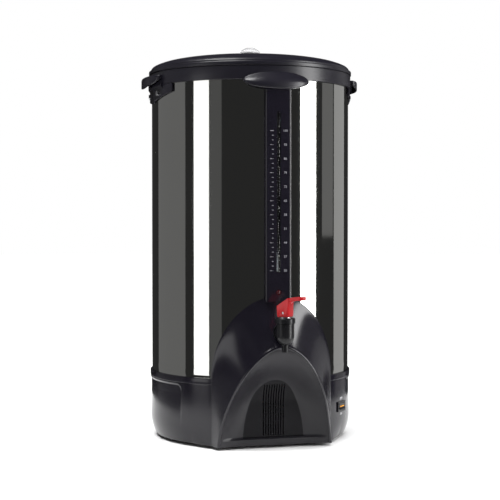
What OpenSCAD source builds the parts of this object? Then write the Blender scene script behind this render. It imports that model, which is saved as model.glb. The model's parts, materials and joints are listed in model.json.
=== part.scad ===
// Coffee urn: a steel tank on a moulded base, a percolator inside, a sight gauge and a lever tap in front.
// Millimetres, +Z up. The origin is on the table under the tank's axis and the front faces -Y.
// A place on the round body is given by its angle from the front, positive towards +X. What rings the tank is
// counted out or in from its wall, so that it follows the tank's radius.

/* [Tank] */
// Outer radius of the steel tank
tank_r = 137; // [132:0.5:142]
// Thickness of the tank's wall and floor
tank_wall = 1; // [0.8:0.1:1.4]
// Height of the tank from its floor to its rim
tank_depth = 391; // [370:1:420]
// Length of the steel skirt under the tank's floor
skirt_h = 16; // [15:0.5:18]
// Radius of the rolled bead along the rim
rim_bead_r = 1.5; // [1:0.1:2]
// Inner radius of the heating well in the floor
well_r = 24; // [22:0.5:25]
// Depth of the heating well
well_depth = 13; // [10:0.5:16]
// Thickness of the well's wall
well_wall = 1.2; // [1:0.1:1.6]
// Width of the flange that seals the well to the floor
well_flange = 10; // [8:0.5:14]

/* [Base] */
// Height of the base's rim above the table
base_h = 92; // [90:0.5:96]
// How far the base's wall stands out past the tank
base_overhang = 2; // [1.8:0.1:2.4]
// Thickness of the base's wall
base_wall = 3; // [2.6:0.1:3.4]
// Height of the base's lower edge above the table
base_clear = 4; // [3:0.5:5]
// Height over which the wall curves in at the bottom
flare_h = 34; // [28:1:40]
// How far the wall curves in at the bottom
flare_inset = 9; // [6:0.5:10]
// Height of the raised bead along the base's rim
rim_band_h = 8; // [6:0.5:10]
// How far the rim's bead stands out
rim_band_t = 0.6; // [0.4:0.1:0.8]
// Depth of the flat side panels
panel_depth = 1.2; // [0.8:0.1:1.4]
// Angle from the front to the near edge of a side panel
panel_edge = 56; // [54:0.5:58]
// Radius of a side panel's upper corners
panel_corner = 8; // [5:0.5:12]
// Thickness of the bottom plate
plate_t = 2; // [1.6:0.1:2.4]
// Radius of a foot
foot_r = 9; // [7:0.5:11]
// Distance of the feet from the tank's wall, inwards
foot_ring = 33; // [29:1:39]
// Distance of the screw posts from the tank's wall, inwards
post_ring = 19; // [17:0.5:21]
// Height of a screw post
post_h = 34; // [24:1:40]
// Radius of the shank of a base screw
screw_r = 1.45; // [1.2:0.05:1.7]

/* [Front cowl] */
// Half the width of the cowl at its legs
cowl_half = 82; // [80:0.5:84]
// Height of the top of the cowl's arch
cowl_top = 200; // [197:0.5:203]
// Thickness of the cowl
cowl_wall = 2.2; // [1.8:0.1:2.4]
// Half the width of the cup cove at the table
cove_half = 73.5; // [72:0.5:75]
// Height of the top of the cup cove
cove_top = 134; // [131:0.5:136]
// How far inside the tank's wall the cove's lip lies at the table
lip_low = 8; // [6:0.5:10]
// How far outside the tank's wall the cove's lip lies at its top
lip_high = 26.5; // [24:0.5:28]
// Width of the rounded lip round the cove
lip_w = 4.5; // [3.5:0.5:5.5]
// How far inside the tank's wall the cove's flat back lies
cove_back = 17; // [15:0.5:19]
// Half the width of the cove's flat back
back_half = 40; // [36:1:44]
// Height at which the cove's back starts to lean forward
lean_z = 60; // [56:1:64]
// Height of the sill along the cove's lower edge
sill_h = 13; // [10:0.5:15]
// How far the sill stands proud of the cove's back
sill_t = 4; // [2:0.5:5]
// Number of vent slots in the cove's back
vent_count = 9; // [5:1:11]
// Distance between vent slots
vent_pitch = 3.4; // [3:0.1:4]
// Width of a vent slot
vent_w = 1.4; // [1:0.1:1.8]

/* [Gauge] */
// Width of the gauge panel
gauge_w = 34; // [30:0.5:38]
// How far the gauge panel's front stands out from the tank's wall
gauge_front = 8.5; // [8:0.1:10]
// Radius of the gauge panel's front edges
gauge_edge_r = 2.5; // [1.5:0.1:3.5]
// Outer radius of the gauge glass
glass_r = 3; // [2.5:0.1:3.2]
// Wall of the gauge glass
glass_wall = 1; // [0.8:0.1:1.2]
// Distance from the tank's wall to the gauge glass's centre
glass_v = 4.6; // [4.4:0.1:5]
// Width of the window in front of the glass
window_w = 5; // [4:0.5:6]
// Height of the window's lower end
window_low = 231; // [230:0.5:234]
// Height of the window's upper end
window_high = 439; // [434:0.5:441]
// How far the gauge panel laps over the cowl's top
gauge_lap = 6; // [4:0.5:7]
// Height of the ready lamp
lamp_z = 205.5; // [205:0.1:206]
// Radius of the ready lamp's lens
lamp_r = 3.2; // [2.8:0.1:3.4]
// Height of the gauge's inlet through the tank
elbow_z = 216; // [215.5:0.5:217]

/* [Tap] */
// Height of the tap's shank
shank_z = 155.6; // [154:0.2:157]
// Outer radius of the shank
shank_r = 8; // [7:0.1:8.4]
// Radius of the shank's bore
shank_bore = 4.5; // [3.5:0.1:5]
// Distance from the tank's wall to the tap's axis
tap_v = 38; // [38:0.5:40]
// Outer radius of the tap's body
tap_r = 11.5; // [11:0.1:12]
// Height of the underside of the tap's body
tap_low = 140; // [139.5:0.1:141]
// Outer radius of the tap's outlet
spout_r = 4.25; // [4:0.05:4.6]
// Height of the outlet's end
spout_z = 131; // [128:0.5:133]
// Radius of the bonnet
bonnet_r = 12.8; // [12.5:0.1:13.5]
// Height of the bonnet's lower edge
bonnet_low = 168; // [167:0.5:168.5]
// Height of the bonnet
bonnet_h = 7; // [6.5:0.1:7.4]
// Radius of the tap's stem
stem_r = 2.8; // [2.5:0.1:3]
// How far the stem rises when the lever is pressed
stem_lift = 3.8; // [3.4:0.1:4.2]

/* [Lever] */
// Angle from the front to which the lever is turned
lever_turn = 46; // [40:1:52]
// Angle through which the lever tips
lever_tilt = 30; // [24:1:34]
// Length of the lever's hub
hub_l = 15.3; // [14:0.1:16]
// Width of the lever's hub
hub_w = 14.4; // [13:0.1:15]
// Distance from the tap's axis to the lever's tip
lever_reach = 29; // [26:0.5:32]
// Width of the lever's blade
blade_w = 12; // [10:0.5:12.5]
// Thickness of the lever's blade
blade_t = 5; // [4:0.1:6]
// Height of the lever's top above its seat
lever_h = 26.5; // [24:0.5:28]
// Height of the lever's pin above the lever's seat
pin_h = 5.4; // [5:0.1:6]
// Radius of the lever's pin
pin_r = 1.5; // [1.2:0.1:1.6]

/* [Switch] */
// Angle from the front to the switch
switch_phi = 48; // [46:0.5:49]
// Height of the switch
switch_z = 46.5; // [44:0.5:50]
// Width of the switch's frame
switch_w = 24; // [22:0.5:24.5]
// Height of the switch's frame
switch_h = 13.4; // [12.6:0.1:14]
// Depth of the switch's case
switch_d = 15; // [12:0.5:18]
// Tilt of the rocker from level at either end of its travel
rocker_tilt = 8; // [6:0.5:9]

/* [Inlet] */
// Height of the power inlet
inlet_z = 46; // [42:0.5:50]
// Width of the inlet's flange
inlet_w = 34; // [32:0.5:36]
// Height of the inlet's flange
inlet_h = 26; // [25:0.5:28]
// Width of the inlet's socket
socket_w = 24; // [24:0.1:24.6]
// Height of the inlet's socket
socket_h = 16.4; // [16.4:0.1:17]
// Depth of the inlet's socket
socket_d = 17; // [15:0.5:18]

/* [Collar and handles] */
// Radius of the collar, counted out from the tank's wall
collar_r = 3; // [2.6:0.1:3.2]
// Height of the collar
collar_h = 18; // [16:0.5:19]
// How far the collar reaches above the tank's rim
collar_cap = 4; // [3:0.5:5]
// Radius of the collar's opening, counted in from the tank's wall
collar_bore = 6; // [5.5:0.5:7.5]
// Half the width of the hood over the gauge
hood_half = 45; // [42:0.5:48]
// Half the height of the hood
hood_rise = 12.2; // [11:0.2:13]
// Radius of the hood, counted out from the tank's wall
hood_r = 12.5; // [11.5:0.1:14]
// Half the angle that a handle's bracket spans
wing_half = 27.3; // [25:0.1:30]
// Thickness of a handle's bracket
wing_t = 2.4; // [2:0.1:2.6]
// Height of a bracket below the collar at its middle
wing_drop = 22; // [20:0.5:24]
// Height of a bracket below the collar at its ends
wing_end_drop = 12; // [10:0.5:14]
// Half the angle that a grip spans
grip_half = 18; // [15:0.5:20]
// Radius of the grip's outer edge, counted out from the tank's wall
grip_r = 15; // [14:0.1:17]
// Thickness of the grip
grip_t = 2.6; // [2.2:0.1:3]
// Height of the grip's outer edge
grip_h = 14; // [12:0.5:16]

/* [Lid] */
// Radius of the lid, counted out from the tank's wall
lid_r = 4; // [3.4:0.1:5]
// Height of the band along the lid's edge
lid_band_h = 5; // [4:0.5:6]
// Height of the dome above the band
dome_h = 20; // [17:0.5:23]
// Thickness of the lid
lid_wall = 2.4; // [2:0.1:2.8]
// Radius of the ring that centres the lid, counted in from the tank's wall
lid_ring_r = 8.5; // [8:0.1:10]
// Depth of the ring that centres the lid
lid_ring_h = 9; // [7:0.5:11]
// Radius of the lid's knob
knob_r = 14; // [12:0.5:17]
// Height of the lid's knob
knob_h = 15; // [13:0.5:18]

/* [Percolator] */
// Outer radius of the pump tube
pump_r = 5; // [4.5:0.1:5.5]
// Wall of the pump tube
pump_wall = 0.8; // [0.6:0.1:1]
// Height of the pump tube's top above the tank's floor
pump_h = 363; // [355:1:366]
// Height of the basket's floor above the tank's floor
basket_z = 236; // [225:1:245]
// Radius of the coffee basket
basket_r = 85; // [75:1:95]
// Height of the coffee basket
basket_h = 108; // [95:1:112]
// Thickness of the basket's sheet
basket_wall = 0.8; // [0.6:0.1:1]
// Radius of a hole in the basket
strain_r = 1.3; // [1:0.1:1.6]
// Lift of the valve washer in the pump's foot
valve_lift = 1.5; // [1:0.1:2]

/* [Heating] */
// Outer radius of the percolating heater
perk_r = 46; // [42:0.5:47]
// Height of the percolating heater
perk_h = 10; // [8:0.5:11]
// Radius of the keep-warm heater's ring
warm_r = 72; // [70:0.5:76]
// Radius of the keep-warm heater's tube
warm_tube_r = 3.3; // [2.8:0.1:3.6]
// Distance of the thermostats from the axis
stat_ring = 57; // [56.5:0.5:59]
// Radius of a thermostat
stat_r = 8; // [7:0.5:8.5]
// Radius of an insulated lead
lead_r = 1.3; // [1:0.1:1.6]

/* [Hidden] */

gap = 0.3;       // clearance between loose neighbours
fit = 0.05;      // running clearance, and the gap between parts that touch
eps = 0.01;      // overlap that makes a cut clean
big = 400;       // longer than any cut needs to be
tall = 600;      // taller than the urn
fine = 128;      // facets of the large round shapes
small = 48;      // facets of the small round shapes

black = [0.08, 0.08, 0.1];
satin = [0.16, 0.16, 0.18];
steel = [0.7, 0.7, 0.72];
rubber = [0.2, 0.2, 0.2];
clear = [0.85, 0.92, 0.95, 0.5];

// Levels of the body, from the base up
ledge_z = base_h - 4;
floor_z = ledge_z + skirt_h;
floor_top = floor_z + tank_wall;
rim_z = floor_z + tank_depth;
collar_top = rim_z + collar_cap;
collar_low = collar_top - collar_h;
hood_z = collar_low - 1;
base_r = tank_r + base_overhang;
shell_in = tank_r + gap;
cowl_edge_r = shell_in + 2;

// Distances from the axis of what is given from the tank's wall
tap_at = tank_r + tap_v;
gauge_at = tank_r + gauge_front;
glass_at = tank_r + glass_v;
lip_low_at = tank_r - lip_low;
lip_high_at = tank_r + lip_high;
cove_at = tank_r - cove_back;
collar_edge = tank_r + collar_r;
collar_hole = tank_r - collar_bore;
hood_edge = tank_r + hood_r;
grip_edge = tank_r + grip_r;
lid_edge = tank_r + lid_r;
lid_ring_edge = tank_r - lid_ring_r;
foot_at = tank_r - foot_ring;
post_at = tank_r - post_ring;

// A part placed at an angle from the front, with its local -Y pointing outwards
module around(phi, r = 0) rotate([0, 0, phi]) translate([0, -r, 0]) children();

// A part whose local +Z points out of the front, from a distance v at a height z
module outward(v, z, x = 0) translate([x, -v, z]) rotate([90, 0, 0]) children();

// A round tube or washer
module ring(r, bore, h) {
    difference() {
        cylinder(r = r, h = h, $fn = small);
        translate([0, 0, -eps]) cylinder(r = bore, h = h + 2 * eps, $fn = small);
    }
}

// A hexagonal nut
module nut(r, bore, h) {
    difference() {
        cylinder(r = r, h = h, $fn = 6);
        translate([0, 0, -eps]) cylinder(r = bore, h = h + 2 * eps, $fn = small);
    }
}

// A block centred on its X and Y
module block(x, y, z) translate([-x / 2, -y / 2, 0]) cube([x, y, z]);

// ---- Tank ----
shank_hole = shank_r + gap;
spigot_r = 4;
handle_screw_phi = 12;
handle_screw_r = 2;
handle_screw_z = collar_low - 11;
notch_half = 56;

module tank() {
    color(steel) difference() {
        rotate_extrude($fn = fine) {
            translate([tank_r - tank_wall, ledge_z]) square([tank_wall, rim_z - rim_bead_r - ledge_z]);
            translate([well_r + well_wall + fit, floor_z])
                square([tank_r - tank_wall / 2 - well_r - well_wall - fit, tank_wall]);
            translate([tank_r - rim_bead_r, rim_z - rim_bead_r]) circle(r = rim_bead_r, $fn = small);
        }
        outward(tank_r - 10, shank_z) cylinder(r = shank_hole, h = 20, $fn = small);
        outward(tank_r - 10, elbow_z) cylinder(r = spigot_r + gap, h = 20, $fn = small);
        for (side = [-1, 1], turn = [-1, 1])
            around(side * 90 + turn * handle_screw_phi)
                outward(tank_r - 10, handle_screw_z)
                    cylinder(r = handle_screw_r + gap, h = 20, $fn = small);
        translate([-notch_half, -tank_r - 5, ledge_z - 1])
            cube([2 * notch_half, 60, floor_z - ledge_z + 1 - gap]);
    }
}

well_low = floor_top - well_depth - well_wall;
stud_r = 3;
stud_h = 18;
module heating_well() {
    color(steel) rotate_extrude($fn = 96) {
        translate([well_r, floor_top]) square([well_wall + well_flange, well_wall]);
        translate([well_r, well_low]) square([well_wall, floor_top - well_low + well_wall]);
        translate([0, well_low]) square([well_r + well_wall, well_wall]);
        translate([0, well_low - stud_h]) square([stud_r, stud_h + well_wall / 2]);
    }
}

// ---- Heating ----
tab_w = 6;
tab_t = 0.8;
tab_h = 8;
perk_low = floor_z - perk_h;
perk_tab = 36;
perk_tab_phi = 30;
module tab(h = tab_h) block(tab_w, tab_t, h);

module perk_heater() {
    color("silver") {
        difference() {
            translate([0, 0, perk_low]) cylinder(r = perk_r, h = perk_h - fit, $fn = 96);
            translate([0, 0, perk_low - 1])
                cylinder(r = well_r + well_wall + gap, h = perk_h + 2, $fn = 96);
        }
        for (turn = [-1, 1])
            around(180 + turn * perk_tab_phi, perk_tab) {
                translate([0, 0, perk_low - 6]) cylinder(r = 3.4, h = 6 + eps, $fn = small);
                translate([0, 0, perk_low - 6 - tab_h]) tab(tab_h + eps);
            }
    }
}

warm_z = floor_z - fit - warm_tube_r;
warm_tab_phi = 8;
module warm_heater() {
    color("silver") {
        translate([0, 0, warm_z]) rotate_extrude($fn = 96) translate([warm_r, 0])
            circle(r = warm_tube_r, $fn = 32);
        for (turn = [-1, 1])
            around(180 + turn * warm_tab_phi, warm_r) {
                translate([0, 0, warm_z - 14]) cylinder(r = warm_tube_r - 0.6, h = 14, $fn = 32);
                translate([0, 0, warm_z - 14 - tab_h]) tab(tab_h + eps);
            }
    }
}

clamp_t = 2.2;
clamp_w = 14;
clamp_top = well_low - fit;
module heater_clamp() {
    color("gray") difference() {
        union() {
            translate([0, 0, clamp_top - clamp_t]) block(2 * perk_r - 4, clamp_w, clamp_t);
            for (side = [-1, 1])
                translate([side * (perk_r - 8), 0, clamp_top - clamp_t])
                    block(12, clamp_w, perk_low - fit - clamp_top + clamp_t);
        }
        translate([0, 0, clamp_top - clamp_t - 1]) cylinder(r = stud_r + 0.2, h = clamp_t + 2, $fn = small);
    }
}

clamp_nut_h = 5;
module clamp_nut() {
    color("gray") translate([0, 0, clamp_top - clamp_t - fit - clamp_nut_h])
        nut(5.5, stud_r + fit, clamp_nut_h);
}

stat_h = 8;
stat_phi = 140;
module disc_thermostat(phi) {
    around(phi, stat_ring) {
        translate([0, 0, floor_z - fit - 1.2]) cylinder(r = stat_r, h = 1.2, $fn = small);
        translate([0, 0, floor_z - fit - stat_h]) cylinder(r = stat_r - 1, h = stat_h - 1, $fn = small);
        for (side = [-1, 1]) translate([side * 4, 0, floor_z - fit - stat_h - tab_h])
            block(tab_t, tab_w, tab_h + eps);
    }
}
module thermostat() color("ivory") disc_thermostat(stat_phi);
module warm_thermostat() color("ivory") disc_thermostat(-stat_phi);

fuse_r = 2.4;
fuse_l = 16;
module thermal_fuse() {
    color("white") around(90, stat_ring) translate([0, fuse_l / 2, floor_z - fit - fuse_r])
        rotate([90, 0, 0]) cylinder(r = fuse_r, h = fuse_l, $fn = 32);
}

// ---- Wiring ----
block_x = -42;
block_y = 52;
plate_top = base_clear + 1 + plate_t;
block_h = 14;
pole_pitch = 11;
module terminal_block() {
    color("ivory") translate([block_x, block_y, plate_top + fit]) difference() {
        block(3 * pole_pitch + 2, 16, block_h);
        for (i = [-1:1], j = [-1, 1])
            translate([i * pole_pitch, j * 4, block_h - 8]) cylinder(r = 2, h = 9, $fn = 32);
    }
}

// A lead is swept along a smooth curve through points chosen by hand
lead_steps = 4;
lead_sides = 6;
function unit(v) = v / norm(v);
function spline(a, b, c, d, t) =
    ((2 * b) + (c - a) * t + (2 * a - 5 * b + 4 * c - d) * t * t + (3 * b - a - 3 * c + d) * t * t * t) / 2;
function smooth_path(p) = [
    for (i = [0:len(p) - 2], k = [0:lead_steps - 1])
        spline(p[max(i - 1, 0)], p[i], p[i + 1], p[min(i + 2, len(p) - 1)], k / lead_steps),
    p[len(p) - 1]
];
function tangent(p, i) = unit(p[min(i + 1, len(p) - 1)] - p[max(i - 1, 0)]);
function side_of(t) = unit(cross(t, abs(t[2]) < 0.9 ? [0, 0, 1] : [1, 0, 0]));
function carried(s, t) = unit(s - (s * t) * t);
function frames(p, i = 0, s = undef) =
    i == len(p) ? [] :
    let (t = tangent(p, i), u = s == undef ? side_of(t) : carried(s, t))
    concat([[u, cross(t, u)]], frames(p, i + 1, u));

module lead(points, r = lead_r) {
    path = smooth_path(points);
    axes = frames(path);
    rings = len(path);
    verts = [
        for (i = [0:rings - 1], k = [0:lead_sides - 1])
            let (a = 360 * k / lead_sides) path[i] + r * (cos(a) * axes[i][0] + sin(a) * axes[i][1])
    ];
    walls = [
        for (i = [0:rings - 2], k = [0:lead_sides - 1])
            let (a = i * lead_sides + k, b = i * lead_sides + (k + 1) % lead_sides)
            for (face = [[a, a + lead_sides, b], [b, a + lead_sides, b + lead_sides]]) face
    ];
    first = [for (k = [1:lead_sides - 2]) [0, k, k + 1]];
    last_ring = (rings - 1) * lead_sides;
    last = [for (k = [1:lead_sides - 2]) [last_ring, last_ring + k + 1, last_ring + k]];
    polyhedron(points = verts, faces = concat(walls, first, last), convexity = 6);
}
function polar(phi, r, z) = [r * sin(phi), -r * cos(phi), z];

// Ends of the leads
inlet_back = base_r + 2 - socket_d - 4 - 7;
inlet_end = inlet_back - 1;
switch_back = base_r - switch_d - tab_h;
block_top = plate_top + fit + block_h;
stat_low = floor_z - fit - stat_h - tab_h - 2 * gap;
perk_end = perk_low - 6 - tab_h - gap;
warm_end = warm_z - 14 - tab_h - gap;
pole_z = block_top - 8 + gap;

module mains_leads() {
    color("saddlebrown") lead([[7, inlet_end, inlet_z - 3], [16, 96, 38], [60, 78, 24], [98, 20, 20],
        [104, -40, 26], polar(switch_phi, switch_back - 12, switch_z - 10),
        polar(switch_phi, switch_back - gap, switch_z)]);
    color("steelblue") lead([[-7, inlet_end, inlet_z - 3], [-12, 96, 38], [-26, 78, 34],
        [block_x + pole_pitch, block_y + 5, 32],
        [block_x + pole_pitch, block_y + 4, block_top + 2], [block_x + pole_pitch, block_y + 4, pole_z]]);
    color("olive") lead([[0, inlet_end, inlet_z + 4], [2, 98, 52], [-16, 80, 46],
        [block_x, block_y + 10, 38], [block_x, block_y + 4, 30], [block_x, block_y + 4, pole_z]]);
}

// The end of a thermostat's tab, on one side of its middle
function stat_tab(side) =
    polar(stat_phi, stat_ring, stat_low) + side * 4 * [cos(stat_phi), sin(stat_phi), 0];

module heater_leads() {
    color("firebrick") {
        lead([polar(switch_phi + 2.5, switch_back - gap, switch_z),
            polar(switch_phi + 3, switch_back - 14, switch_z - 4),
            [82, -20, 40], [80, 30, 46], stat_tab(1) + [12, 10, -18], stat_tab(1) + [0, 0, -8],
            stat_tab(1)]);
        lead([stat_tab(-1), stat_tab(-1) + [0, 0, -8], polar(stat_phi + 12, stat_ring - 8, stat_low - 16),
            polar(180 - perk_tab_phi, perk_tab, perk_end - 14),
            polar(180 - perk_tab_phi, perk_tab, perk_end)]);
        lead([polar(180 + perk_tab_phi, perk_tab, perk_end),
            polar(180 + perk_tab_phi, perk_tab + 2, perk_end - 14),
            [block_x + pole_pitch, block_y - 10, 36], [block_x + pole_pitch, block_y - 4, 30],
            [block_x + pole_pitch, block_y - 4, pole_z]]);
        lead([polar(180 + warm_tab_phi, warm_r, warm_end),
            polar(180 + warm_tab_phi + 2, warm_r - 2, warm_end - 12),
            [block_x + 2, block_y, 42], [block_x, block_y - 4, 32], [block_x, block_y - 4, pole_z]]);
    }
}

lamp_lead_r = 0.6;
lamp_lead_v = shell_in + lamp_lead_r + 0.15;
module lamp_leads() {
    color("gray") for (side = [-1, 1])
        lead([polar(side * 0.9, lamp_lead_v, lamp_z - lamp_flange - fit),
            polar(side * 0.9, lamp_lead_v, cowl_top - 8),
            polar(side * 0.9, lamp_lead_v, cowl_top - 21),
            polar(side * 5, lamp_lead_v + 0.6, cowl_top - 28),
            polar(side * 12, lamp_lead_v + 0.6, cowl_top - 39), polar(side * 22, lamp_lead_v + 0.6, 138),
            polar(side * 27, lamp_lead_v + 0.6, 112), polar(side * 27.5, lamp_lead_v + 0.6, 97),
            polar(side * 28, lamp_lead_v + 0.2, 85), polar(side * 29.5, lamp_lead_v - 6, 70),
            polar(side * 36, lamp_lead_v - 26, 44), polar(side * 38, 104, 30),
            polar(side * 38, 100, plate_top + lamp_lead_r + fit)], r = lamp_lead_r);
}

// ---- Base ----
function flare(z) = z < flare_h ? flare_inset * pow(1 - z / flare_h, 2) : 0;
flare_steps = 8;
flare_zs = [for (k = [0:flare_steps]) base_clear + (flare_h - base_clear) * k / flare_steps];
wall_front_phi = 50;
leg_phi = asin(cowl_half / base_r);
band_z = base_h - rim_band_h;
post_phis = [52, 132, 228, 308];
foot_phis = [45, 135, 225, 315];

// The wall's section, flared at its foot
module wall_section() polygon(concat(
    [for (z = flare_zs) [base_r - flare(z), z]],
    [[base_r, band_z], [base_r + rim_band_t, band_z + 0.6], [base_r + rim_band_t, base_h - 0.8],
     [base_r - 0.4, base_h], [shell_in, base_h], [shell_in, ledge_z - fit], [shell_in - 7, ledge_z - fit],
     [shell_in - 7, ledge_z - 3], [base_r - base_wall, ledge_z - 3]],
    [for (k = [flare_steps:-1:0]) [base_r - base_wall - flare(flare_zs[k]), flare_zs[k]]]));

// The foot of the wall beside a leg, which is straight, between two angles from the front
sink = 0.02;
module straight_foot(from, to) rotate([0, 0, from - 90]) rotate_extrude(angle = to - from, $fn = fine)
    translate([base_r - base_wall + sink, base_clear])
        square([base_wall - 2 * sink, flare_h + 2 - base_clear]);

// The outline of a side panel, seen from the side
module panel_outline() {
    reach = base_r * cos(panel_edge);
    top = band_z - 3;
    low = flare_h * 0.7;
    difference() {
        translate([-reach, low]) square([2 * reach, top - low]);
        for (side = [-1, 1]) translate([side * (reach - panel_corner), top - panel_corner])
            difference() {
                translate([side > 0 ? 0 : -panel_corner - 1, 0])
                    square([panel_corner + 1, panel_corner + 1]);
                circle(r = panel_corner, $fn = small);
            }
    }
}

module side_panel(side) {
    intersection() {
        difference() {
            translate([0, 0, 1]) cylinder(r = base_r + 3, h = base_h - 2, $fn = fine);
            cylinder(r = base_r - panel_depth, h = base_h, $fn = fine);
        }
        rotate([90, 0, 90]) linear_extrude(height = 300, center = true) panel_outline();
        translate([side > 0 ? 0 : -big, -big / 2, 0]) cube([big, big, base_h]);
    }
}

post_r = 5;
module base_housing() {
    front_gap = cowl_half + gap;
    color(black) difference() {
        union() {
            difference() {
                rotate_extrude($fn = fine) wall_section();
                for (side = [-1, 1]) side_panel(side);
            }
            straight_foot(leg_phi - 5, wall_front_phi);
            straight_foot(-wall_front_phi, 5 - leg_phi);
            for (phi = post_phis) around(phi, post_at) {
                translate([0, 0, plate_top]) cylinder(r = post_r, h = post_h, $fn = small);
                translate([0, -8, plate_top + 8]) block(3, 16, post_h - 8);
            }
        }
        translate([-front_gap, -big, base_clear - 1]) cube([2 * front_gap, big - 90, base_h]);
        for (phi = post_phis) around(phi, post_at)
            translate([0, 0, plate_top - 1]) cylinder(r = screw_r + fit, h = post_h - 6, $fn = 32);
        around(switch_phi) translate([0, -base_r, switch_z])
            cube([case_w + 2 * gap, 30, case_h + 2 * gap], center = true);
        around(180) translate([0, -base_r, inlet_z])
            cube([shroud_w + 2 * gap, 30, shroud_h + 2 * gap], center = true);
    }
}

plate_r = base_r - base_wall - flare(base_clear) - gap;
plate_front = 117;
module bottom_plate() {
    color(satin) difference() {
        translate([0, 0, base_clear + 1]) cylinder(r = plate_r, h = plate_t, $fn = fine);
        translate([-big / 2, -plate_front - 60, 0]) cube([big, 60, 20]);
        for (phi = post_phis) around(phi, post_at) cylinder(r = screw_r + 0.2, h = 20, $fn = 32);
        for (phi = foot_phis) around(phi, foot_at) cylinder(r = foot_neck + fit, h = 20, $fn = 32);
        for (i = [-4:4]) translate([i * 9, 10, 0]) block(3, 50, 20);
    }
}

foot_neck = 2.5;
module feet() {
    color(rubber) for (phi = foot_phis) around(phi, foot_at) rotate_extrude($fn = small)
        polygon([[0, 0], [foot_r - 1.5, 0], [foot_r, 1.5], [foot_r, base_clear + 1 - fit],
            [foot_neck, base_clear + 1 - fit],
                 [foot_neck, plate_top + fit], [foot_neck + 1.4, plate_top + fit],
                 [foot_neck, plate_top + 3], [0, plate_top + 3]]);
}

module bottom_screws() {
    color(steel) for (phi = post_phis) around(phi, post_at) {
        translate([0, 0, base_clear + 1 - fit - 2]) cylinder(r = 3.4, h = 2, $fn = small);
        translate([0, 0, base_clear + 1 - fit - 1]) cylinder(r = screw_r, h = 17, $fn = 32);
    }
}

// ---- Front cowl ----
// The cowl is a skin over stations that run up the arch. Each station's points go from the arch's outer
// edge, over the lip, into the cove and on to the cove's centre line.
stations = 20;
skin_steps = [0, 0.12, 0.3, 0.5, 0.7, 0.88, 1];
cove_steps = [0.06, 0.2, 0.42, 0.68, 1];
back_steps = [0.35, 0.7, 1];
arch_rise = cowl_top - base_h;
cove_foot = -4;
cove_rise = cove_top - cove_foot;
cowl_low = base_clear;
back_top = 88;
spine_top = lean_z - 4;

function cowl_x(z) = z <= base_h ? cowl_half : cowl_half * sqrt(max(0,
    1 - pow((z - base_h) / arch_rise, 2)));
function lip_v(z) = lip_low_at + (lip_high_at - lip_low_at) * (1 - cos(180 * min(z / (cove_top + 6),
    1))) / 2;
function back_v(z) = z < sill_h ? cove_at + sill_t
    : z < lean_z ? cove_at
    : cove_at + (lip_high_at - cove_at) * pow((z - lean_z) / (cove_top - lean_z), 1.6);

outer_start = asin((cowl_low - cove_foot) / (cowl_top - cove_foot));
inner_start = asin((cowl_low - cove_foot) / cove_rise);
sill_f = (asin((sill_h - 0.2 - cove_foot) / cove_rise) - inner_start) / (90 - inner_start);
sill_top_f = (asin((sill_h + 1 - cove_foot) / cove_rise) - inner_start) / (90 - inner_start);
station_f = concat([0, sill_f, sill_top_f],
    [for (k = [1:stations]) sill_top_f + (1 - sill_top_f) * k / stations]);
half_n = len(station_f) - 1;

function inner_a(f) = inner_start + (90 - inner_start) * f;
function outer_a(f) = outer_start + (90 - outer_start) * f;
function lip_z(f) = cove_foot + cove_rise * sin(inner_a(f));
function lip_x(f) = f >= 1 ? 0 : cove_half * pow(cos(inner_a(f)), 1.16);
function edge_z(f) = cove_foot + (cowl_top - cove_foot) * sin(outer_a(f));
function edge_x(f) = f >= 1 ? 0 : cowl_x(edge_z(f));
function on_round(r, x) = sqrt(r * r - x * x);
// The back's outline follows the lip's height low down and stops lower at the top
function squeeze(z,
    top) = z <= sill_h + 2 ? z : sill_h + 2 + (z - sill_h - 2) * (top - sill_h - 2) / (cove_top - sill_h - 2);
function mix(a, b, t) = a + (b - a) * t;

function skin_point(f, s) =
    let (ex = edge_x(f), ez = edge_z(f), ix = lip_x(f), iz = lip_z(f),
         span = norm([ex - ix, ez - iz]),
         ox = ix + (ex - ix) * lip_w / span, oz = iz + (ez - iz) * lip_w / span,
         p = 1.2 + 0.6 * pow(f, 4))
    [mix(ex, ox, s), mix(on_round(cowl_edge_r, ex), lip_v(iz), pow(s, p)), mix(ez, oz, s)];

function lip_point(f, t, proud) =
    let (a = skin_point(f, 1))
    [mix(a[0], lip_x(f), t), a[1] + proud, mix(a[2], lip_z(f), t)];

function cove_point(f, q) =
    let (ix = lip_x(f), iz = lip_z(f), c = cos(inner_a(f)),
         bx = f >= 1 ? 0 : back_half * pow(c, 0.9), bz = squeeze(iz, back_top),
         z = mix(iz, bz, q), x = mix(ix, bx, q), deep = back_v(z))
    [x, mix(max(lip_v(iz) - 0.5, deep), deep, 1 - pow(1 - q, 1.7)), z];

function back_point(f, q) =
    let (iz = lip_z(f), bx = f >= 1 ? 0 : back_half * pow(cos(inner_a(f)), 0.9),
         z = mix(squeeze(iz, back_top), squeeze(iz, spine_top), q))
    [q == 1 ? 0 : bx * (1 - q), back_v(z), z];

function cowl_row(f) = concat(
    [for (s = skin_steps) skin_point(f, s)],
    [lip_point(f, 0.35, 1), lip_point(f, 0.8, 0.8), cove_point(f, 0)],
    [for (q = cove_steps) cove_point(f, q)],
    [for (q = back_steps) back_point(f, q)]);

function to_xyz(p, side) = [side * p[0], -p[1], p[2]];

// All stations from the left leg over the arch to the right leg, with the front skin's points
rows = [
    for (i = [0:2 * half_n])
        let (side = i <= half_n ? -1 : 1, half_row = cowl_row(station_f[min(i, 2 * half_n - i)]))
        [for (p = half_row) to_xyz(p, side)]
];
cols = len(rows[0]);
row_count = 2 * half_n + 1;

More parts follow.
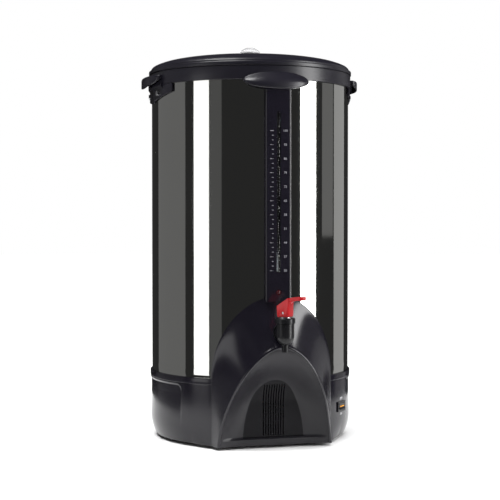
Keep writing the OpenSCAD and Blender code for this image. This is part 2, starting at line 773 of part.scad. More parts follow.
// The skin's normal at a point, kept level along the lower edge and square to the centre line on it
function along(i, j) = rows[min(i + 1, row_count - 1)][j] - rows[max(i - 1, 0)][j];
function across(i, j) = j == cols - 1 ? [i <= half_n ? 1 : -1, 0,
    0] : rows[i][j + 1] - rows[i][max(j - 1, 0)];
function spine_along(i) = let (k = min(i, 2 * half_n - i))
    rows[min(k + 1, half_n)][cols - 1] - rows[max(k - 1, 0)][cols - 1];
function raw_normal(i, j) = j == cols - 1 ? cross([1, 0, 0], spine_along(i)) : cross(across(i, j),
    along(i, j));
function levelled(n, i, j) = [j == cols - 1 || i == half_n ? 0 : n[0], n[1],
    i == 0 || i == row_count - 1 ? 0 : n[2]];
function faced(n) = n[1] > 0 ? -n : n;
function skin_normal(i, j) =
    let (n = unit(levelled(raw_normal(i, j), i, j)))
    j == cols - 1 ? faced(n) : n;
function edge_back(p) = let (r = norm([p[0], p[1]])) [p[0] * shell_in / r, p[1] * shell_in / r, p[2]];
function back_of(i, j) = j == 0 ? edge_back(rows[i][0]) : rows[i][j] - cowl_wall * skin_normal(i, j);

// Vertex numbers: the last column is shared by the two halves
body_verts = row_count * (cols - 1);
skin_verts = body_verts + half_n + 1;
function vert(i, j) = j < cols - 1 ? i * (cols - 1) + j : body_verts + min(i, 2 * half_n - i);
function skin_list(back) = concat(
    [for (i = [0:row_count - 1], j = [0:cols - 2]) back ? back_of(i, j) : rows[i][j]],
    [for (i = [0:half_n]) back ? back_of(i, cols - 1) : rows[i][cols - 1]]);
function quad(a, b, c, d) = [[a, b, c], [a, c, d]];

module cowl_skin() {
    front = [for (i = [0:row_count - 2], j = [0:cols - 2],
        t = quad(vert(i, j), vert(i, j + 1), vert(i + 1, j + 1), vert(i + 1, j))) t];
    rear = [for (t = front) [t[2] + skin_verts, t[1] + skin_verts, t[0] + skin_verts]];
    arch = [for (i = [0:row_count - 2],
        t = quad(vert(i, 0), vert(i + 1, 0), vert(i + 1, 0) + skin_verts, vert(i, 0) + skin_verts)) t];
    foot = [for (i = [0, row_count - 1], j = [0:cols - 2],
            t = i == 0 ? quad(vert(i, j + 1), vert(i, j), vert(i, j) + skin_verts,
                vert(i, j + 1) + skin_verts)
                       : quad(vert(i, j), vert(i, j + 1), vert(i, j + 1) + skin_verts,
                           vert(i, j) + skin_verts)) t];
    polyhedron(points = concat(skin_list(false), skin_list(true)), faces = concat(front, rear, arch, foot),
        convexity = 10);
}

// A shallow groove up the tank's front, for the lamp's leads
groove_w = 8;
groove_v = lamp_lead_v + lamp_lead_r + 0.15;
module lead_groove(z, h) translate([-groove_w / 2, -groove_v, z]) cube([groove_w, 10, h]);

vent_low = sill_h + 3;
vent_high = lean_z + 24;
module front_cowl() {
    color(black) difference() {
        cowl_skin();
        outward(cove_at, shank_z) cylinder(r = shank_r + 0.8, h = 60, $fn = small);
        lead_groove(cowl_top - 24, 30);
        for (i = [0:vent_count - 1]) translate([(i - (vent_count - 1) / 2) * vent_pitch, 0, 0])
            translate([-vent_w / 2, -cove_at - 30, vent_low]) cube([vent_w, 36, vent_high - vent_low]);
    }
}

// ---- Gauge ----
gauge_low = cowl_top - gauge_lap;
gauge_high = hood_z - hood_rise - gap;
channel_r = 4.4;
elbow_low = elbow_z - 4.5;
elbow_high = elbow_z + 12;
glass_low = elbow_z + 5;
glass_high = window_high + 8;
cap_high = glass_high + 4;

module panel_section() {
    difference() {
        union() {
            translate([-gauge_w / 2, -gauge_at + gauge_edge_r])
                square([gauge_w, gauge_at - gauge_edge_r - tank_r + 6]);
            translate([-gauge_w / 2 + gauge_edge_r, -gauge_at])
                square([gauge_w - 2 * gauge_edge_r, gauge_edge_r + 1]);
            for (side = [-1, 1]) translate([side * (gauge_w / 2 - gauge_edge_r), -gauge_at + gauge_edge_r])
                circle(r = gauge_edge_r, $fn = 32);
        }
        circle(r = shell_in, $fn = 256);
    }
}

module gauge_panel() {
    color(black) difference() {
        translate([0, 0, gauge_low]) linear_extrude(height = gauge_high - gauge_low) panel_section();
        translate([0, -glass_at, elbow_low - gap])
            cylinder(r = channel_r, h = cap_high - elbow_low + 2 * gap, $fn = small);
        translate([0, -glass_at + channel_r / 2, elbow_low - gap])
            block(2 * channel_r, channel_r, cap_high - elbow_low + 2 * gap);
        translate([0, -gauge_at, window_low]) block(window_w, 8, window_high - window_low);
        outward(tank_r, lamp_z) cylinder(r = lamp_r + fit, h = 20, $fn = small);
        outward(tank_r - 2, lamp_z) cylinder(r = lamp_flange + fit, h = 6, $fn = small);
        lead_groove(gauge_low - 1, lamp_z - gauge_low);
        translate([0, 0, gauge_low - 1]) cylinder(r = cowl_edge_r + 1, h = gauge_lap + 1 + gap, $fn = 256);
    }
}

module gauge_glass() {
    color(clear) translate([0, -glass_at, glass_low + fit])
        ring(glass_r, glass_r - glass_wall, glass_high - glass_low - fit);
}

module off_tank() difference() {
    children();
    cylinder(r = tank_r + fit, h = tall, $fn = 256);
}

module gauge_elbow() {
    color(black) difference() {
        union() {
            off_tank() translate([0, -glass_at, elbow_low])
                cylinder(r = channel_r - 0.2, h = elbow_high - elbow_low, $fn = small);
            outward(tank_r - 10, elbow_z) cylinder(r = spigot_r, h = glass_at - tank_r + 10, $fn = small);
        }
        translate([0, -glass_at, elbow_z]) cylinder(r = 1.8, h = 20, $fn = 32);
        translate([0, -glass_at, glass_low]) cylinder(r = glass_r + fit, h = 20, $fn = small);
        outward(tank_r - 11, elbow_z) cylinder(r = 1.8, h = glass_at - tank_r + 11, $fn = 32);
    }
}

module gauge_seal() {
    color(rubber) off_tank() translate([0, -glass_at, elbow_high + fit])
        ring(channel_r - 0.2, glass_r + fit, 2);
}

module gauge_cap() {
    color(rubber) off_tank() translate([0, -glass_at, glass_high - 4]) difference() {
        cylinder(r = channel_r - 0.2, h = cap_high - glass_high + 4, $fn = small);
        translate([0, 0, -1]) cylinder(r = glass_r + fit, h = 5 + fit, $fn = small);
    }
}

seal_t = 2.5;
inner_r = tank_r - tank_wall;
module in_tank() intersection() {
    children();
    cylinder(r = inner_r - fit, h = tall, $fn = 256);
}

module elbow_gasket() {
    color(rubber) in_tank() outward(inner_r - seal_t, elbow_z)
        ring(spigot_r + 3.5, spigot_r + fit, seal_t + 2);
}

module elbow_nut() {
    color(steel) outward(inner_r - seal_t - 4 - fit, elbow_z) nut(spigot_r + 4, spigot_r + fit, 4);
}

lamp_flange = lamp_r + 0.7;
module ready_lamp() {
    color("darkred") outward(tank_r + 1, lamp_z) {
        cylinder(r = lamp_flange, h = 2.9, $fn = small);
        cylinder(r = lamp_r, h = gauge_at - tank_r - 1 - 0.2, $fn = small);
        translate([0, 0, gauge_at - tank_r - 1 - 0.2 - 2.1]) intersection() {
            sphere(r = lamp_r - 0.2, $fn = small);
            cylinder(r = lamp_r, h = lamp_r, $fn = small);
        }
    }
}

// ---- Tap ----
flange_r = 12;
flange_t = 3;
flange_v = tap_at - 14.7;
spigot_in = 6;
collar_t = 3;
module faucet_shank() {
    color(black) difference() {
        union() {
            outward(tank_r - 13, shank_z) cylinder(r = shank_r, h = flange_v - tank_r + 13 + eps,
                $fn = small);
            outward(tank_r + seal_t, shank_z) cylinder(r = flange_r, h = collar_t, $fn = small);
            outward(flange_v, shank_z) cylinder(r = flange_r, h = flange_t, $fn = small);
            outward(flange_v, shank_z) cylinder(r = spigot_in, h = flange_t + 3.5, $fn = small);
        }
        outward(tank_r - 14, shank_z) cylinder(r = shank_bore, h = 60, $fn = small);
    }
}

module shank_gaskets() {
    color(rubber) {
        off_tank() outward(tank_r - 3, shank_z) ring(flange_r, shank_r + fit, seal_t + 3 - fit);
        in_tank() outward(inner_r - seal_t, shank_z) ring(flange_r, shank_r + fit, seal_t + 2);
    }
}

shank_nut_h = 6;
module shank_nut() {
    color(steel) outward(inner_r - seal_t - fit - shank_nut_h, shank_z)
        nut(flange_r + 2, shank_r + fit, shank_nut_h);
}

chamber_r = 8.4;
seat_z = tap_low + 6;
bonnet_top = bonnet_low + bonnet_h;
neck_r = 10.2;
spout_bore = 3;
body_v = flange_v + flange_t + fit;
module at_tap(z = 0) translate([0, -tap_at, z]) children();

module faucet_body() {
    color(black) difference() {
        union() {
            at_tap() rotate_extrude($fn = 64) difference() {
                union() {
                    translate([0, tap_low + 5]) square([tap_r, bonnet_low - fit - tap_low - 5]);
                    intersection() {
                        translate([0, tap_low + tap_r]) circle(r = tap_r, $fn = 64);
                        translate([0, tap_low]) square([tap_r, tap_r]);
                    }
                    translate([0, bonnet_low - 1]) square([neck_r, 5.2]);
                    translate([0, spout_z]) square([spout_r, 14]);
                }
                translate([0, seat_z]) square([chamber_r, 40]);
                translate([-1, spout_z - 1]) square([spout_bore + 1, 30]);
            }
            difference() {
                outward(body_v, shank_z) cylinder(r = tap_r - 1, h = tap_at - body_v - 6, $fn = small);
                at_tap(seat_z) cylinder(r = chamber_r, h = 30, $fn = 64);
            }
        }
        outward(body_v - 1, shank_z) cylinder(r = spigot_in + fit, h = 4.6, $fn = small);
        outward(body_v - 1, shank_z) cylinder(r = shank_bore, h = tap_at - body_v, $fn = small);
    }
}

module bonnet() {
    color(black) at_tap() rotate_extrude($fn = 64) polygon([
        [stem_r + fit, bonnet_top - 2], [stem_r + fit, bonnet_top], [bonnet_r - 1, bonnet_top],
        [bonnet_r, bonnet_top - 1], [bonnet_r, bonnet_low], [neck_r + fit, bonnet_low],
        [neck_r + fit, bonnet_top - 2]]);
}

washer_t = 1;
washer_r = 7.6;
lever_seat = bonnet_top + fit + washer_t;
pin_z = lever_seat + pin_h;
module turn_washer() {
    color(steel) at_tap(bonnet_top + fit) ring(washer_r, stem_r + fit, washer_t);
}

cup_h = 6;
cup_r = 6.5;
stem_low = seat_z + cup_h - 2;
module seat_cup() {
    color("white") at_tap() rotate_extrude($fn = small) difference() {
        polygon([[0, seat_z - 1.4], [spout_bore - 0.8, seat_z - 1.2], [spout_bore - 0.3, seat_z + fit],
            [cup_r, seat_z + fit],
                 [cup_r, seat_z + cup_h], [0, seat_z + cup_h]]);
        translate([-1, stem_low - fit]) square([stem_r + 1 + fit, 10]);
    }
}

collar_z = seat_z + cup_h + fit;
module faucet_stem() {
    color(steel) at_tap() difference() {
        union() {
            translate([0, 0, stem_low]) cylinder(r = stem_r, h = pin_z + stem_top - stem_low, $fn = small);
            translate([0, 0, collar_z]) cylinder(r = stem_r + 2.4, h = 1.2, $fn = small);
        }
        rotate([0, 0, lever_turn]) translate([-20, 0, pin_z]) rotate([0, 90, 0])
            cylinder(r = pin_r + fit, h = 40, $fn = small);
    }
}

spring_low = collar_z + 1.2 + fit;
spring_high = bonnet_top - 2 - fit;
module stem_spring() {
    color("silver") at_tap(spring_low) ring(stem_r + 1.6, stem_r + 0.6, spring_high - spring_low);
}

module lever_pin() {
    color(steel) at_tap(pin_z) rotate([0, 0, lever_turn]) translate([-hub_w / 2 + 0.6, 0, 0])
        rotate([0, 90, 0])
        cylinder(r = pin_r, h = hub_w - 1.2, $fn = small);
}

// The lever's side outline: along its reach and up from its seat
lever_lift = 0.2;
hub_edge = 0.6;
tip_r = blade_t / 2;
module lever_side() {
    top = lever_h;
    back = -hub_l / 2;
    front = hub_l / 2;
    polygon([[back + hub_edge, lever_lift], [front - hub_edge, lever_lift], [front, lever_lift + hub_edge],
             [front + 0.6, top - 8.4], [lever_reach - tip_r, top - blade_t], [lever_reach - tip_r, top],
             [front - 1, top - 2.2], [back - 1, lever_h - 12.4], [back, lever_lift + hub_edge]]);
    translate([lever_reach - tip_r, top - tip_r]) circle(r = tip_r, $fn = 32);
    for (side = [-1, 1]) translate([side * (front - hub_edge), lever_lift + hub_edge])
        circle(r = hub_edge, $fn = 32);
}

slot_w = 2 * stem_r + 2 * gap;
stem_top = 3;
slot_front = (pin_h - lever_lift) * tan(lever_tilt) + stem_r / cos(lever_tilt) + gap;
slot_back = stem_top * sin(lever_tilt) + stem_r * cos(lever_tilt) + gap;
slot_h = pin_h + stem_top * cos(lever_tilt) + stem_r * sin(lever_tilt) + gap;
module lever() {
    color("red") at_tap(lever_seat) rotate([0, 0, lever_turn]) difference() {
        intersection() {
            translate([-hub_w / 2, 0, 0]) rotate([90, 0, 90]) mirror([1, 0, 0])
                linear_extrude(height = hub_w) lever_side();
            union() {
                translate([0, 2, 0]) block(hub_w, hub_l + 4, 60);
                translate([-blade_w / 2, -lever_reach + blade_w / 2, 0])
                    cube([blade_w, lever_reach - blade_w / 2, 60]);
                translate([0, -lever_reach + blade_w / 2, 0])
                    cylinder(r = blade_w / 2, h = 60, $fn = small);
            }
        }
        translate([-slot_w / 2, -slot_front, -1]) cube([slot_w, slot_front + slot_back, slot_h + 1]);
        translate([-20, 0, pin_h]) rotate([0, 90, 0]) cylinder(r = pin_r + fit, h = 40, $fn = small);
    }
}

// ---- Switch ----
case_w = switch_w - 3.4;
case_h = switch_h - 3.4;
case_side = 1.2;
pivot_r = 1;
rocker_w = case_w - 2 * case_side - 2 * gap;
rocker_h = case_h - 2 * 0.8 - 2 * gap;
frame_back = base_r + 0.1;
frame_front = frame_back + 1.2;
pivot_v = base_r - 1.4;

module switch_case() {
    color(black) around(switch_phi) difference() {
        union() {
            translate([0, -(frame_back + frame_front) / 2, switch_z])
                cube([switch_w, frame_front - frame_back, switch_h], center = true);
            translate([0, -frame_front + switch_d / 2 + 0.5, switch_z])
                cube([case_w, switch_d, case_h], center = true);
            for (side = [-1, 1]) translate([side * 5, -frame_front + switch_d + tab_h / 2 + 0.4, switch_z])
                cube([tab_t, tab_h, tab_w], center = true);
        }
        translate([0, -frame_front + switch_d / 2 - 1.5, switch_z])
            cube([case_w - 2 * case_side, switch_d, case_h - 1.6], center = true);
        translate([-case_w / 2 - 1, -pivot_v, switch_z]) rotate([0, 90, 0])
            cylinder(r = pivot_r + fit, h = case_w + 2, $fn = small);
    }
}

rocker_half = rocker_h / 2 - 0.5;
rocker_tip = 4.4;
rocker_mid = 2.6;
module at_rocker() around(switch_phi) translate([0, -pivot_v, switch_z]) rotate([-rocker_tilt, 0, 0])
    children();
module rocker_section() polygon([[-3, -rocker_half + 0.8], [rocker_mid + 1.4, -rocker_half],
    [rocker_mid, -0.9],
    [rocker_mid, 0.9], [rocker_mid + 1.4, rocker_half], [-3, rocker_half - 0.8]]);
module switch_rocker() {
    color(black) at_rocker() difference() {
        union() {
            translate([-rocker_w / 2, 0, 0]) rotate([90, 0, 90]) mirror([1, 0, 0])
                linear_extrude(height = rocker_w) rocker_section();
            translate([-case_w / 2 + 0.2, 0, 0]) rotate([0, 90, 0])
                cylinder(r = pivot_r, h = case_w - 0.4, $fn = small);
        }
        translate([0, -rocker_mid, 0]) cube([lens_w + 2 * fit, 1.6, lens_h + 2 * fit], center = true);
    }
}
lens_w = 14;
lens_h = 1.5;
module switch_lens() {
    color("orange") at_rocker() translate([0, -rocker_mid + 0.1, 0])
        cube([lens_w, 1.3, lens_h], center = true);
}

// ---- Power inlet ----
shroud_w = socket_w + 4;
shroud_h = socket_h + 4;
inlet_front = frame_back + 2;
pin_proud = 4.5;
pin_places = [[-7, -3], [7, -3], [0, 4]];
module power_inlet() {
    color(black) around(180) translate([0, 0, inlet_z]) difference() {
        union() {
            translate([0, -(frame_back + inlet_front) / 2, 0])
                cube([inlet_w, inlet_front - frame_back, inlet_h], center = true);
            translate([0, -inlet_front + (socket_d + 4) / 2, 0])
                cube([shroud_w, socket_d + 4, shroud_h], center = true);
        }
        translate([0, -inlet_front + socket_d / 2 - 1, 0])
            cube([socket_w, socket_d + 2, socket_h], center = true);
        for (p = pin_places) translate([-p[0], -inlet_front + socket_d, p[1]])
            cube([2 + 2 * fit, 20, 4 + 2 * fit], center = true);
    }
}
module inlet_pins() {
    color("silver") around(180) for (p = pin_places)
        translate([-p[0] - 1, -inlet_front + pin_proud, inlet_z + p[1] - 2])
            cube([2, socket_d + 4 + 7 - pin_proud, 4]);
}

// ---- Collar and handles ----
collar_seat = rim_z + fit;
module collar() {
    color(black) {
        rotate_extrude($fn = fine) polygon([[shell_in, collar_low], [collar_edge - 0.5, collar_low],
            [collar_edge, collar_low + 1],
            [collar_edge, collar_top - 0.8], [collar_edge - 0.8, collar_top], [collar_hole, collar_top],
            [collar_hole, collar_seat], [shell_in, collar_seat]]);
        intersection() {
            rotate([0, 0, -90 - 20]) rotate_extrude(angle = 40, $fn = fine) polygon([
                [shell_in + fit, hood_z - hood_rise - 1], [hood_edge - 3, hood_z - hood_rise - 1],
                [hood_edge, hood_z - hood_rise + 3], [hood_edge - 0.5, hood_z - 2],
                [collar_edge + 4, hood_z + hood_rise - 5], [collar_edge - 0.6, hood_z + hood_rise + 1],
                [collar_edge - 2, hood_z + hood_rise + 1], [collar_edge - 2, collar_low + 2],
                [shell_in + fit, collar_low + 2]]);
            outward(100, hood_z) linear_extrude(height = 80) polygon([
                for (k = [0:35]) [hood_half * cos(10 * k), hood_rise * sin(10 * k)]]);
        }
    }
}

wing_top = collar_low - gap;
grip_in = collar_edge + gap;
grip_wall = 1.5;
grip_top = collar_low + 12.5;
module handle() {
    difference() {
        union() {
            rotate([0, 0, -90 - wing_half]) rotate_extrude(angle = 2 * wing_half, $fn = fine)
                translate([shell_in, collar_low - wing_drop])
                    square([wing_t, wing_top - collar_low + wing_drop]);
            rotate([0, 0, -90 - grip_half]) rotate_extrude(angle = 2 * grip_half, $fn = fine) polygon([
                [shell_in + wing_t - 0.5, wing_top - 6], [grip_in + grip_wall, wing_top - 1.5],
                [grip_in + grip_wall, grip_top - grip_t], [grip_edge - grip_t - 1, grip_top - grip_t],
                [grip_edge - grip_t, grip_top - grip_t - 1], [grip_edge - grip_t, grip_top - grip_h],
                [grip_edge, grip_top - grip_h], [grip_edge, grip_top - 3.5],
                [grip_edge - 1, grip_top - 1.3],
                [grip_edge - 3.2, grip_top], [grip_in, grip_top], [grip_in, wing_top],
                [shell_in + wing_t - 0.5, wing_top]]);
        }
        outward(100, collar_low - wing_drop) linear_extrude(height = 80)
            for (side = [-1, 1]) polygon([[side * 10, -1], [side * big / 4, -1],
                [side * big / 4, wing_drop],
                [side * (wing_span + 5), wing_drop - wing_end_drop + 1]]);
        for (turn = [-1, 1]) around(turn * handle_screw_phi)
            outward(tank_r - 10, handle_screw_z) cylinder(r = handle_screw_r + 0.2, h = 20, $fn = small);
    }
}
wing_span = shell_in * sin(wing_half);
module handle_left() color(black) rotate([0, 0, -90]) handle();
module handle_right() color(black) rotate([0, 0, 90]) handle();

module handle_spots() for (side = [-1, 1], turn = [-1, 1]) around(side * 90 + turn * handle_screw_phi)
    children();
module handle_screws() {
    color(steel) handle_spots() {
        outward(tank_r - 8, handle_screw_z)
            cylinder(r = handle_screw_r, h = 8 + gap + wing_t + fit, $fn = 32);
        outward(shell_in + wing_t + fit, handle_screw_z) cylinder(r = 3.6, h = 1.6, $fn = small);
    }
}
module handle_nuts() {
    color(steel) handle_spots() outward(inner_r - 0.2 - 3, handle_screw_z)
        nut(3.8, handle_screw_r + fit, 3);
}

// ---- Lid ----
lid_low = collar_top + gap;
lid_top = lid_low + lid_band_h + dome_h;
// The dome's outline as its share of the radius and of its height
dome_shape = [[0.982, 0.03], [0.977, 0.15], [0.955, 0.3], [0.9, 0.46], [0.84, 0.58], [0.74, 0.71],
    [0.6, 0.83], [0.42, 0.92], [0.2, 0.98]];
module lid() {
    dome_low = lid_low + lid_band_h;
    outer = [for (p = dome_shape) [p[0] * lid_edge, dome_low + p[1] * dome_h]];
    inner = [for (p = dome_shape) [p[0] * (lid_edge - lid_wall), dome_low + p[1] * dome_h - lid_wall]];
    color(black) difference() {
        rotate_extrude($fn = fine) {
            polygon(concat([[lid_edge - 0.8, lid_low], [lid_edge, lid_low + 0.8],
                [lid_edge, dome_low - 0.8], [lid_edge - 0.8, dome_low]],
                outer, [[0, lid_top], [0, lid_top - lid_wall]],
                [for (k = [len(inner) - 1:-1:0]) inner[k]],
                [[lid_edge - lid_wall - 4, lid_low + lid_wall], [lid_edge - lid_wall - 4, lid_low]]));
            translate([lid_ring_edge - 2, lid_low - lid_ring_h]) square([2, lid_ring_h + lid_wall + 0.6]);
            translate([lid_ring_edge - 2, lid_low])
                square([lid_edge - lid_wall - 2 - lid_ring_edge, lid_wall]);
        }
        translate([0, 0, lid_top - 10]) cylinder(r = knob_stud + fit, h = 20, $fn = small);
    }
}

knob_stud = 4;
knob_low = lid_top + fit;
module lid_knob() {
    color(clear) rotate_extrude($fn = 64) {
        translate([0, knob_low]) square([knob_r * 0.62, 3.2]);
        intersection() {
            translate([0, knob_low + knob_h - knob_r]) circle(r = knob_r, $fn = 64);
            translate([0, knob_low + 3]) square([knob_r, knob_h]);
        }
        translate([0, lid_top - lid_wall - 7]) square([knob_stud, lid_wall + 8]);
    }
}
module knob_nut() {
    color(steel) translate([0, 0, lid_top - lid_wall - gap / 2 - 4]) nut(8, knob_stud + fit, 4);
}

// ---- Percolator ----
tube_top = floor_top + pump_h;
foot_top = floor_top + 6;
well_floor = well_low + well_wall;
module pump_base() {
    color(steel) rotate_extrude($fn = 64) difference() {
        polygon([[pump_r + fit, foot_top + 4], [pump_r + 3, foot_top + 4], [pump_r + 4, foot_top],
            [well_r - 1.5, floor_top - 1],
                 [well_r - 0.6, floor_top - 3], [well_r - 0.6, well_floor + fit],
                 [well_r - 1.6, well_floor + fit],
                 [well_r - 1.6, floor_top - 4], [pump_r + 3, foot_top - 2], [pump_r + fit, foot_top - 2]]);
    }
}
valve_z = well_floor + 3;
module pump_tube() {
    color(steel) difference() {
        union() {
            translate([0, 0, well_floor + fit])
                cylinder(r = pump_r, h = tube_top - well_floor - fit, $fn = small);
            translate([0, 0, valve_z - 1 - fit]) cylinder(r = pump_r + 3, h = 1, $fn = small);
        }
        translate([0, 0, well_floor - 1]) cylinder(r = pump_r - pump_wall, h = pump_h + 40, $fn = small);
        for (turn = [0:90:270]) rotate([0, 0, turn]) translate([0, 0, well_floor - 1]) block(3, 40, 2.6);
    }
}
module pump_valve() {
    color("gray") translate([0, 0, valve_z]) ring(pump_r + 6, pump_r + fit, 0.8);
}

stop_z = floor_top + basket_z;
stop_h = 7;
module basket_stop() {
    color(steel) translate([0, 0, stop_z - fit - stop_h]) ring(pump_r + 3.4, pump_r + fit, stop_h);
}

sleeve_r = pump_r + 0.6;
module holes(rings, z) {
    for (r = rings, k = [0:round(r / 4.2) * 2 - 1])
        rotate([0, 0, 180 * k / round(r / 4.2)]) translate([r, 0, z - 2])
            cylinder(r = strain_r, h = 6, $fn = 16);
}
module basket() {
    color(steel) difference() {
        rotate_extrude($fn = 96) {
            translate([sleeve_r, stop_z]) square([basket_r - sleeve_r, basket_wall]);
            translate([sleeve_r, stop_z]) square([basket_wall, basket_h - 8]);
            translate([basket_r - basket_wall, stop_z]) square([basket_wall, basket_h]);
            translate([basket_r - basket_wall / 2, stop_z + basket_h]) circle(r = 1.2, $fn = 32);
        }
        holes([18, 34, 50, 66], stop_z);
    }
}

spreader_z = stop_z + basket_h + 1.2 + fit;
module spreader() {
    color(steel) difference() {
        rotate_extrude($fn = 96) {
            translate([sleeve_r, spreader_z]) square([basket_r + 1 - sleeve_r, basket_wall]);
            translate([basket_r - basket_wall - 2.2, spreader_z - 5]) square([basket_wall, 5 + eps]);
            translate([sleeve_r, spreader_z]) square([basket_wall, 9]);
        }
        holes([22, 44, 66], spreader_z);
    }
}

// ---- Assembly ----
tank();
heating_well();
perk_heater();
warm_heater();
heater_clamp();
clamp_nut();
thermostat();
warm_thermostat();
thermal_fuse();
terminal_block();
mains_leads();
heater_leads();
lamp_leads();
base_housing();
bottom_plate();
feet();
bottom_screws();
front_cowl();
gauge_panel();
gauge_glass();
gauge_seal();
gauge_cap();
gauge_elbow();
elbow_nut();
elbow_gasket();
ready_lamp();
collar();
handle_left();
handle_right();
handle_screws();
handle_nuts();
faucet_shank();
shank_gaskets();
shank_nut();
faucet_body();
bonnet();
turn_washer();
faucet_stem();
seat_cup();
stem_spring();
lever_pin();
lever();
switch_case();
switch_rocker();
switch_lens();
power_inlet();
inlet_pins();
lid();
lid_knob();
knob_nut();
pump_base();
pump_tube();
pump_valve();
basket_stop();
basket();
spreader();
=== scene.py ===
# %% [markdown]
# # A coffee urn, dressed round its CAD frame
# The frame holds every rigid piece of the urn at its real place and size, in metres, with +Z up and the tap
# towards -Y. This script gives each of them a finish, and rebuilds in finer mesh those whose shape the light
# shows up: tank, cowl, lid, knob, collar, handles, lever, tap body, base, gauge panel and stem spring. Then
# it prints the gauge's scale and the switch's two words.

# %% Load the frame
import json
import math
import bmesh
import bpy
import numpy as np
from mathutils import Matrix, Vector


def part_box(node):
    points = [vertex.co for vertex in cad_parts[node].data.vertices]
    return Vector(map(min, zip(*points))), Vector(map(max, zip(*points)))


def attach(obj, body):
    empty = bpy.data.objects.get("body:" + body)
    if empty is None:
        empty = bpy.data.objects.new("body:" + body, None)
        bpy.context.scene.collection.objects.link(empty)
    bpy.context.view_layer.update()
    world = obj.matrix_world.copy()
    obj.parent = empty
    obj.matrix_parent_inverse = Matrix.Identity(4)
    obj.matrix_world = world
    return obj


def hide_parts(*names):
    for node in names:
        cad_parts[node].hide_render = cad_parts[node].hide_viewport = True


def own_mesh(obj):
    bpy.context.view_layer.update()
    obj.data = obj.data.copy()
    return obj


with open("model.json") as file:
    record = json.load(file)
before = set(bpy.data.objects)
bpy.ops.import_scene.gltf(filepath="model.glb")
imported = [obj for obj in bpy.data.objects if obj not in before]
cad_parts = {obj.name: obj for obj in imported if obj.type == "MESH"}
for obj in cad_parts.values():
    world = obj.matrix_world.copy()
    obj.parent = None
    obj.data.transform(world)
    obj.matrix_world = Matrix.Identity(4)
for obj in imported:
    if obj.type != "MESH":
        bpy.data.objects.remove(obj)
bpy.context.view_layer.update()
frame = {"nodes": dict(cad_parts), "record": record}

# %% Helpers for objects and nodes
def in_scene(name, data):
    """A new object with this data, linked to the scene."""
    thing = bpy.data.objects.new(name, data)
    bpy.context.scene.collection.objects.link(thing)
    return thing


def add(tree, kind, **values):
    """A node of a kind, with its properties, and its sockets by name, set from the keywords."""
    node = tree.nodes.new(kind)
    for key, value in values.items():
        if hasattr(node, key):
            setattr(node, key, value)
        else:
            node.inputs[key.replace("_", " ").title()].default_value = value
    return node


def connect(tree, *wires):
    """Links in a node tree, each as (node, output, node, input)."""
    for start, output, end, entry in wires:
        tree.links.new(start.outputs[output], end.inputs[entry])


def new_tree(kind, name, inputs, outputs):
    """A node group and its two end nodes, from {name: default float or kind} and {name: kind}."""
    tree = bpy.data.node_groups.new(name, kind)
    for label, value in inputs.items():
        number = not isinstance(value, str)
        socket = tree.interface.new_socket(label, in_out="INPUT",
                                           socket_type="NodeSocket" + ("Float" if number else value))
        if number:
            socket.default_value = value
    for label, value in outputs.items():
        tree.interface.new_socket(label, in_out="OUTPUT", socket_type="NodeSocket" + value)
    return tree, tree.nodes.new("NodeGroupInput"), tree.nodes.new("NodeGroupOutput")

# %% [markdown]
# ## Sizes
# A size that the frame can show is read once, from the box of the CAD piece that owns it, so that the finer
# meshes sit where the solids sit. The others, such as walls, bores and the radii of edges, are typed beside
# the piece that uses them, mostly with the CAD's own values. All of them are in millimetres.

# %% Read the sizes that the pieces share
MM = 0.001
FIT = 0.05          # clearance between pieces that touch


def span(node, axis):
    """A CAD piece's two ends along an axis."""
    low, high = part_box(node)
    return low[axis] / MM, high[axis] / MM


tank_r = span("tank", 0)[1]
tank_low, rim_z = span("tank", 2)
tank_wall = 1.0
floor_z = span("perk_heater", 2)[1] + FIT
base_low, base_h = span("base_housing", 2)
WING_DROP = 22      # how far the handles' brackets reach down below the collar
collar_low, collar_top = span("handle_left", 2)[0] + WING_DROP, span("collar", 2)[1]
lid_r = span("lid", 0)[1]
lid_top = span("lid", 2)[1]
tap_v = -(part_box("bonnet")[0][1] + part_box("bonnet")[1][1]) / 2 / MM
print("tank radius", round(tank_r, 2), "rim", round(rim_z, 2), "floor", round(floor_z, 2),
      "tap", round(tap_v, 2))

# %% [markdown]
# ## Camera
# The photograph was taken from a little left of the front, slightly above the urn's middle, through a long
# lens, which keeps the tank's sides almost parallel. The camera stands where the fitted view puts it.

# %% Place the camera
VIEW_TURN = math.radians(14.8)
VIEW_DISTANCE = 1.732
VIEW_HEIGHT = 0.2996
VIEW_PITCH = math.radians(1.41)
LENS_PER_SENSOR = 1233 / 500

camera_data = bpy.data.cameras.new("camera")
camera_data.sensor_width = 36
camera_data.lens = camera_data.sensor_width * LENS_PER_SENSOR
camera = in_scene("camera", camera_data)
bpy.context.scene.camera = camera
ahead = Vector((math.sin(VIEW_TURN), math.cos(VIEW_TURN), 0))
camera.location = Vector((0, 0, VIEW_HEIGHT)) - ahead * VIEW_DISTANCE
aim = ahead * math.cos(VIEW_PITCH) - Vector((0, 0, math.sin(VIEW_PITCH)))
camera.rotation_euler = aim.to_track_quat("-Z", "Y").to_euler()
print("camera", [round(v, 3) for v in camera.location], "lens", round(camera_data.lens, 1))

# %% [markdown]
# ## Studio
# A polished cylinder shows the room squeezed into vertical bands, so the room is what has to be right: a
# soft box on each side draws the white bands, dim boxes beside them draw the greys, and the dark between
# them is the unlit room. The left box is short and dim, so that the steel shows it and the plastic below
# doesn't. The world is white to the eye and dark to reflections, as a paper sweep with black flags round it
# is.

# %% Light the studio
ROOM = (0.03, 0.03, 0.03, 1)


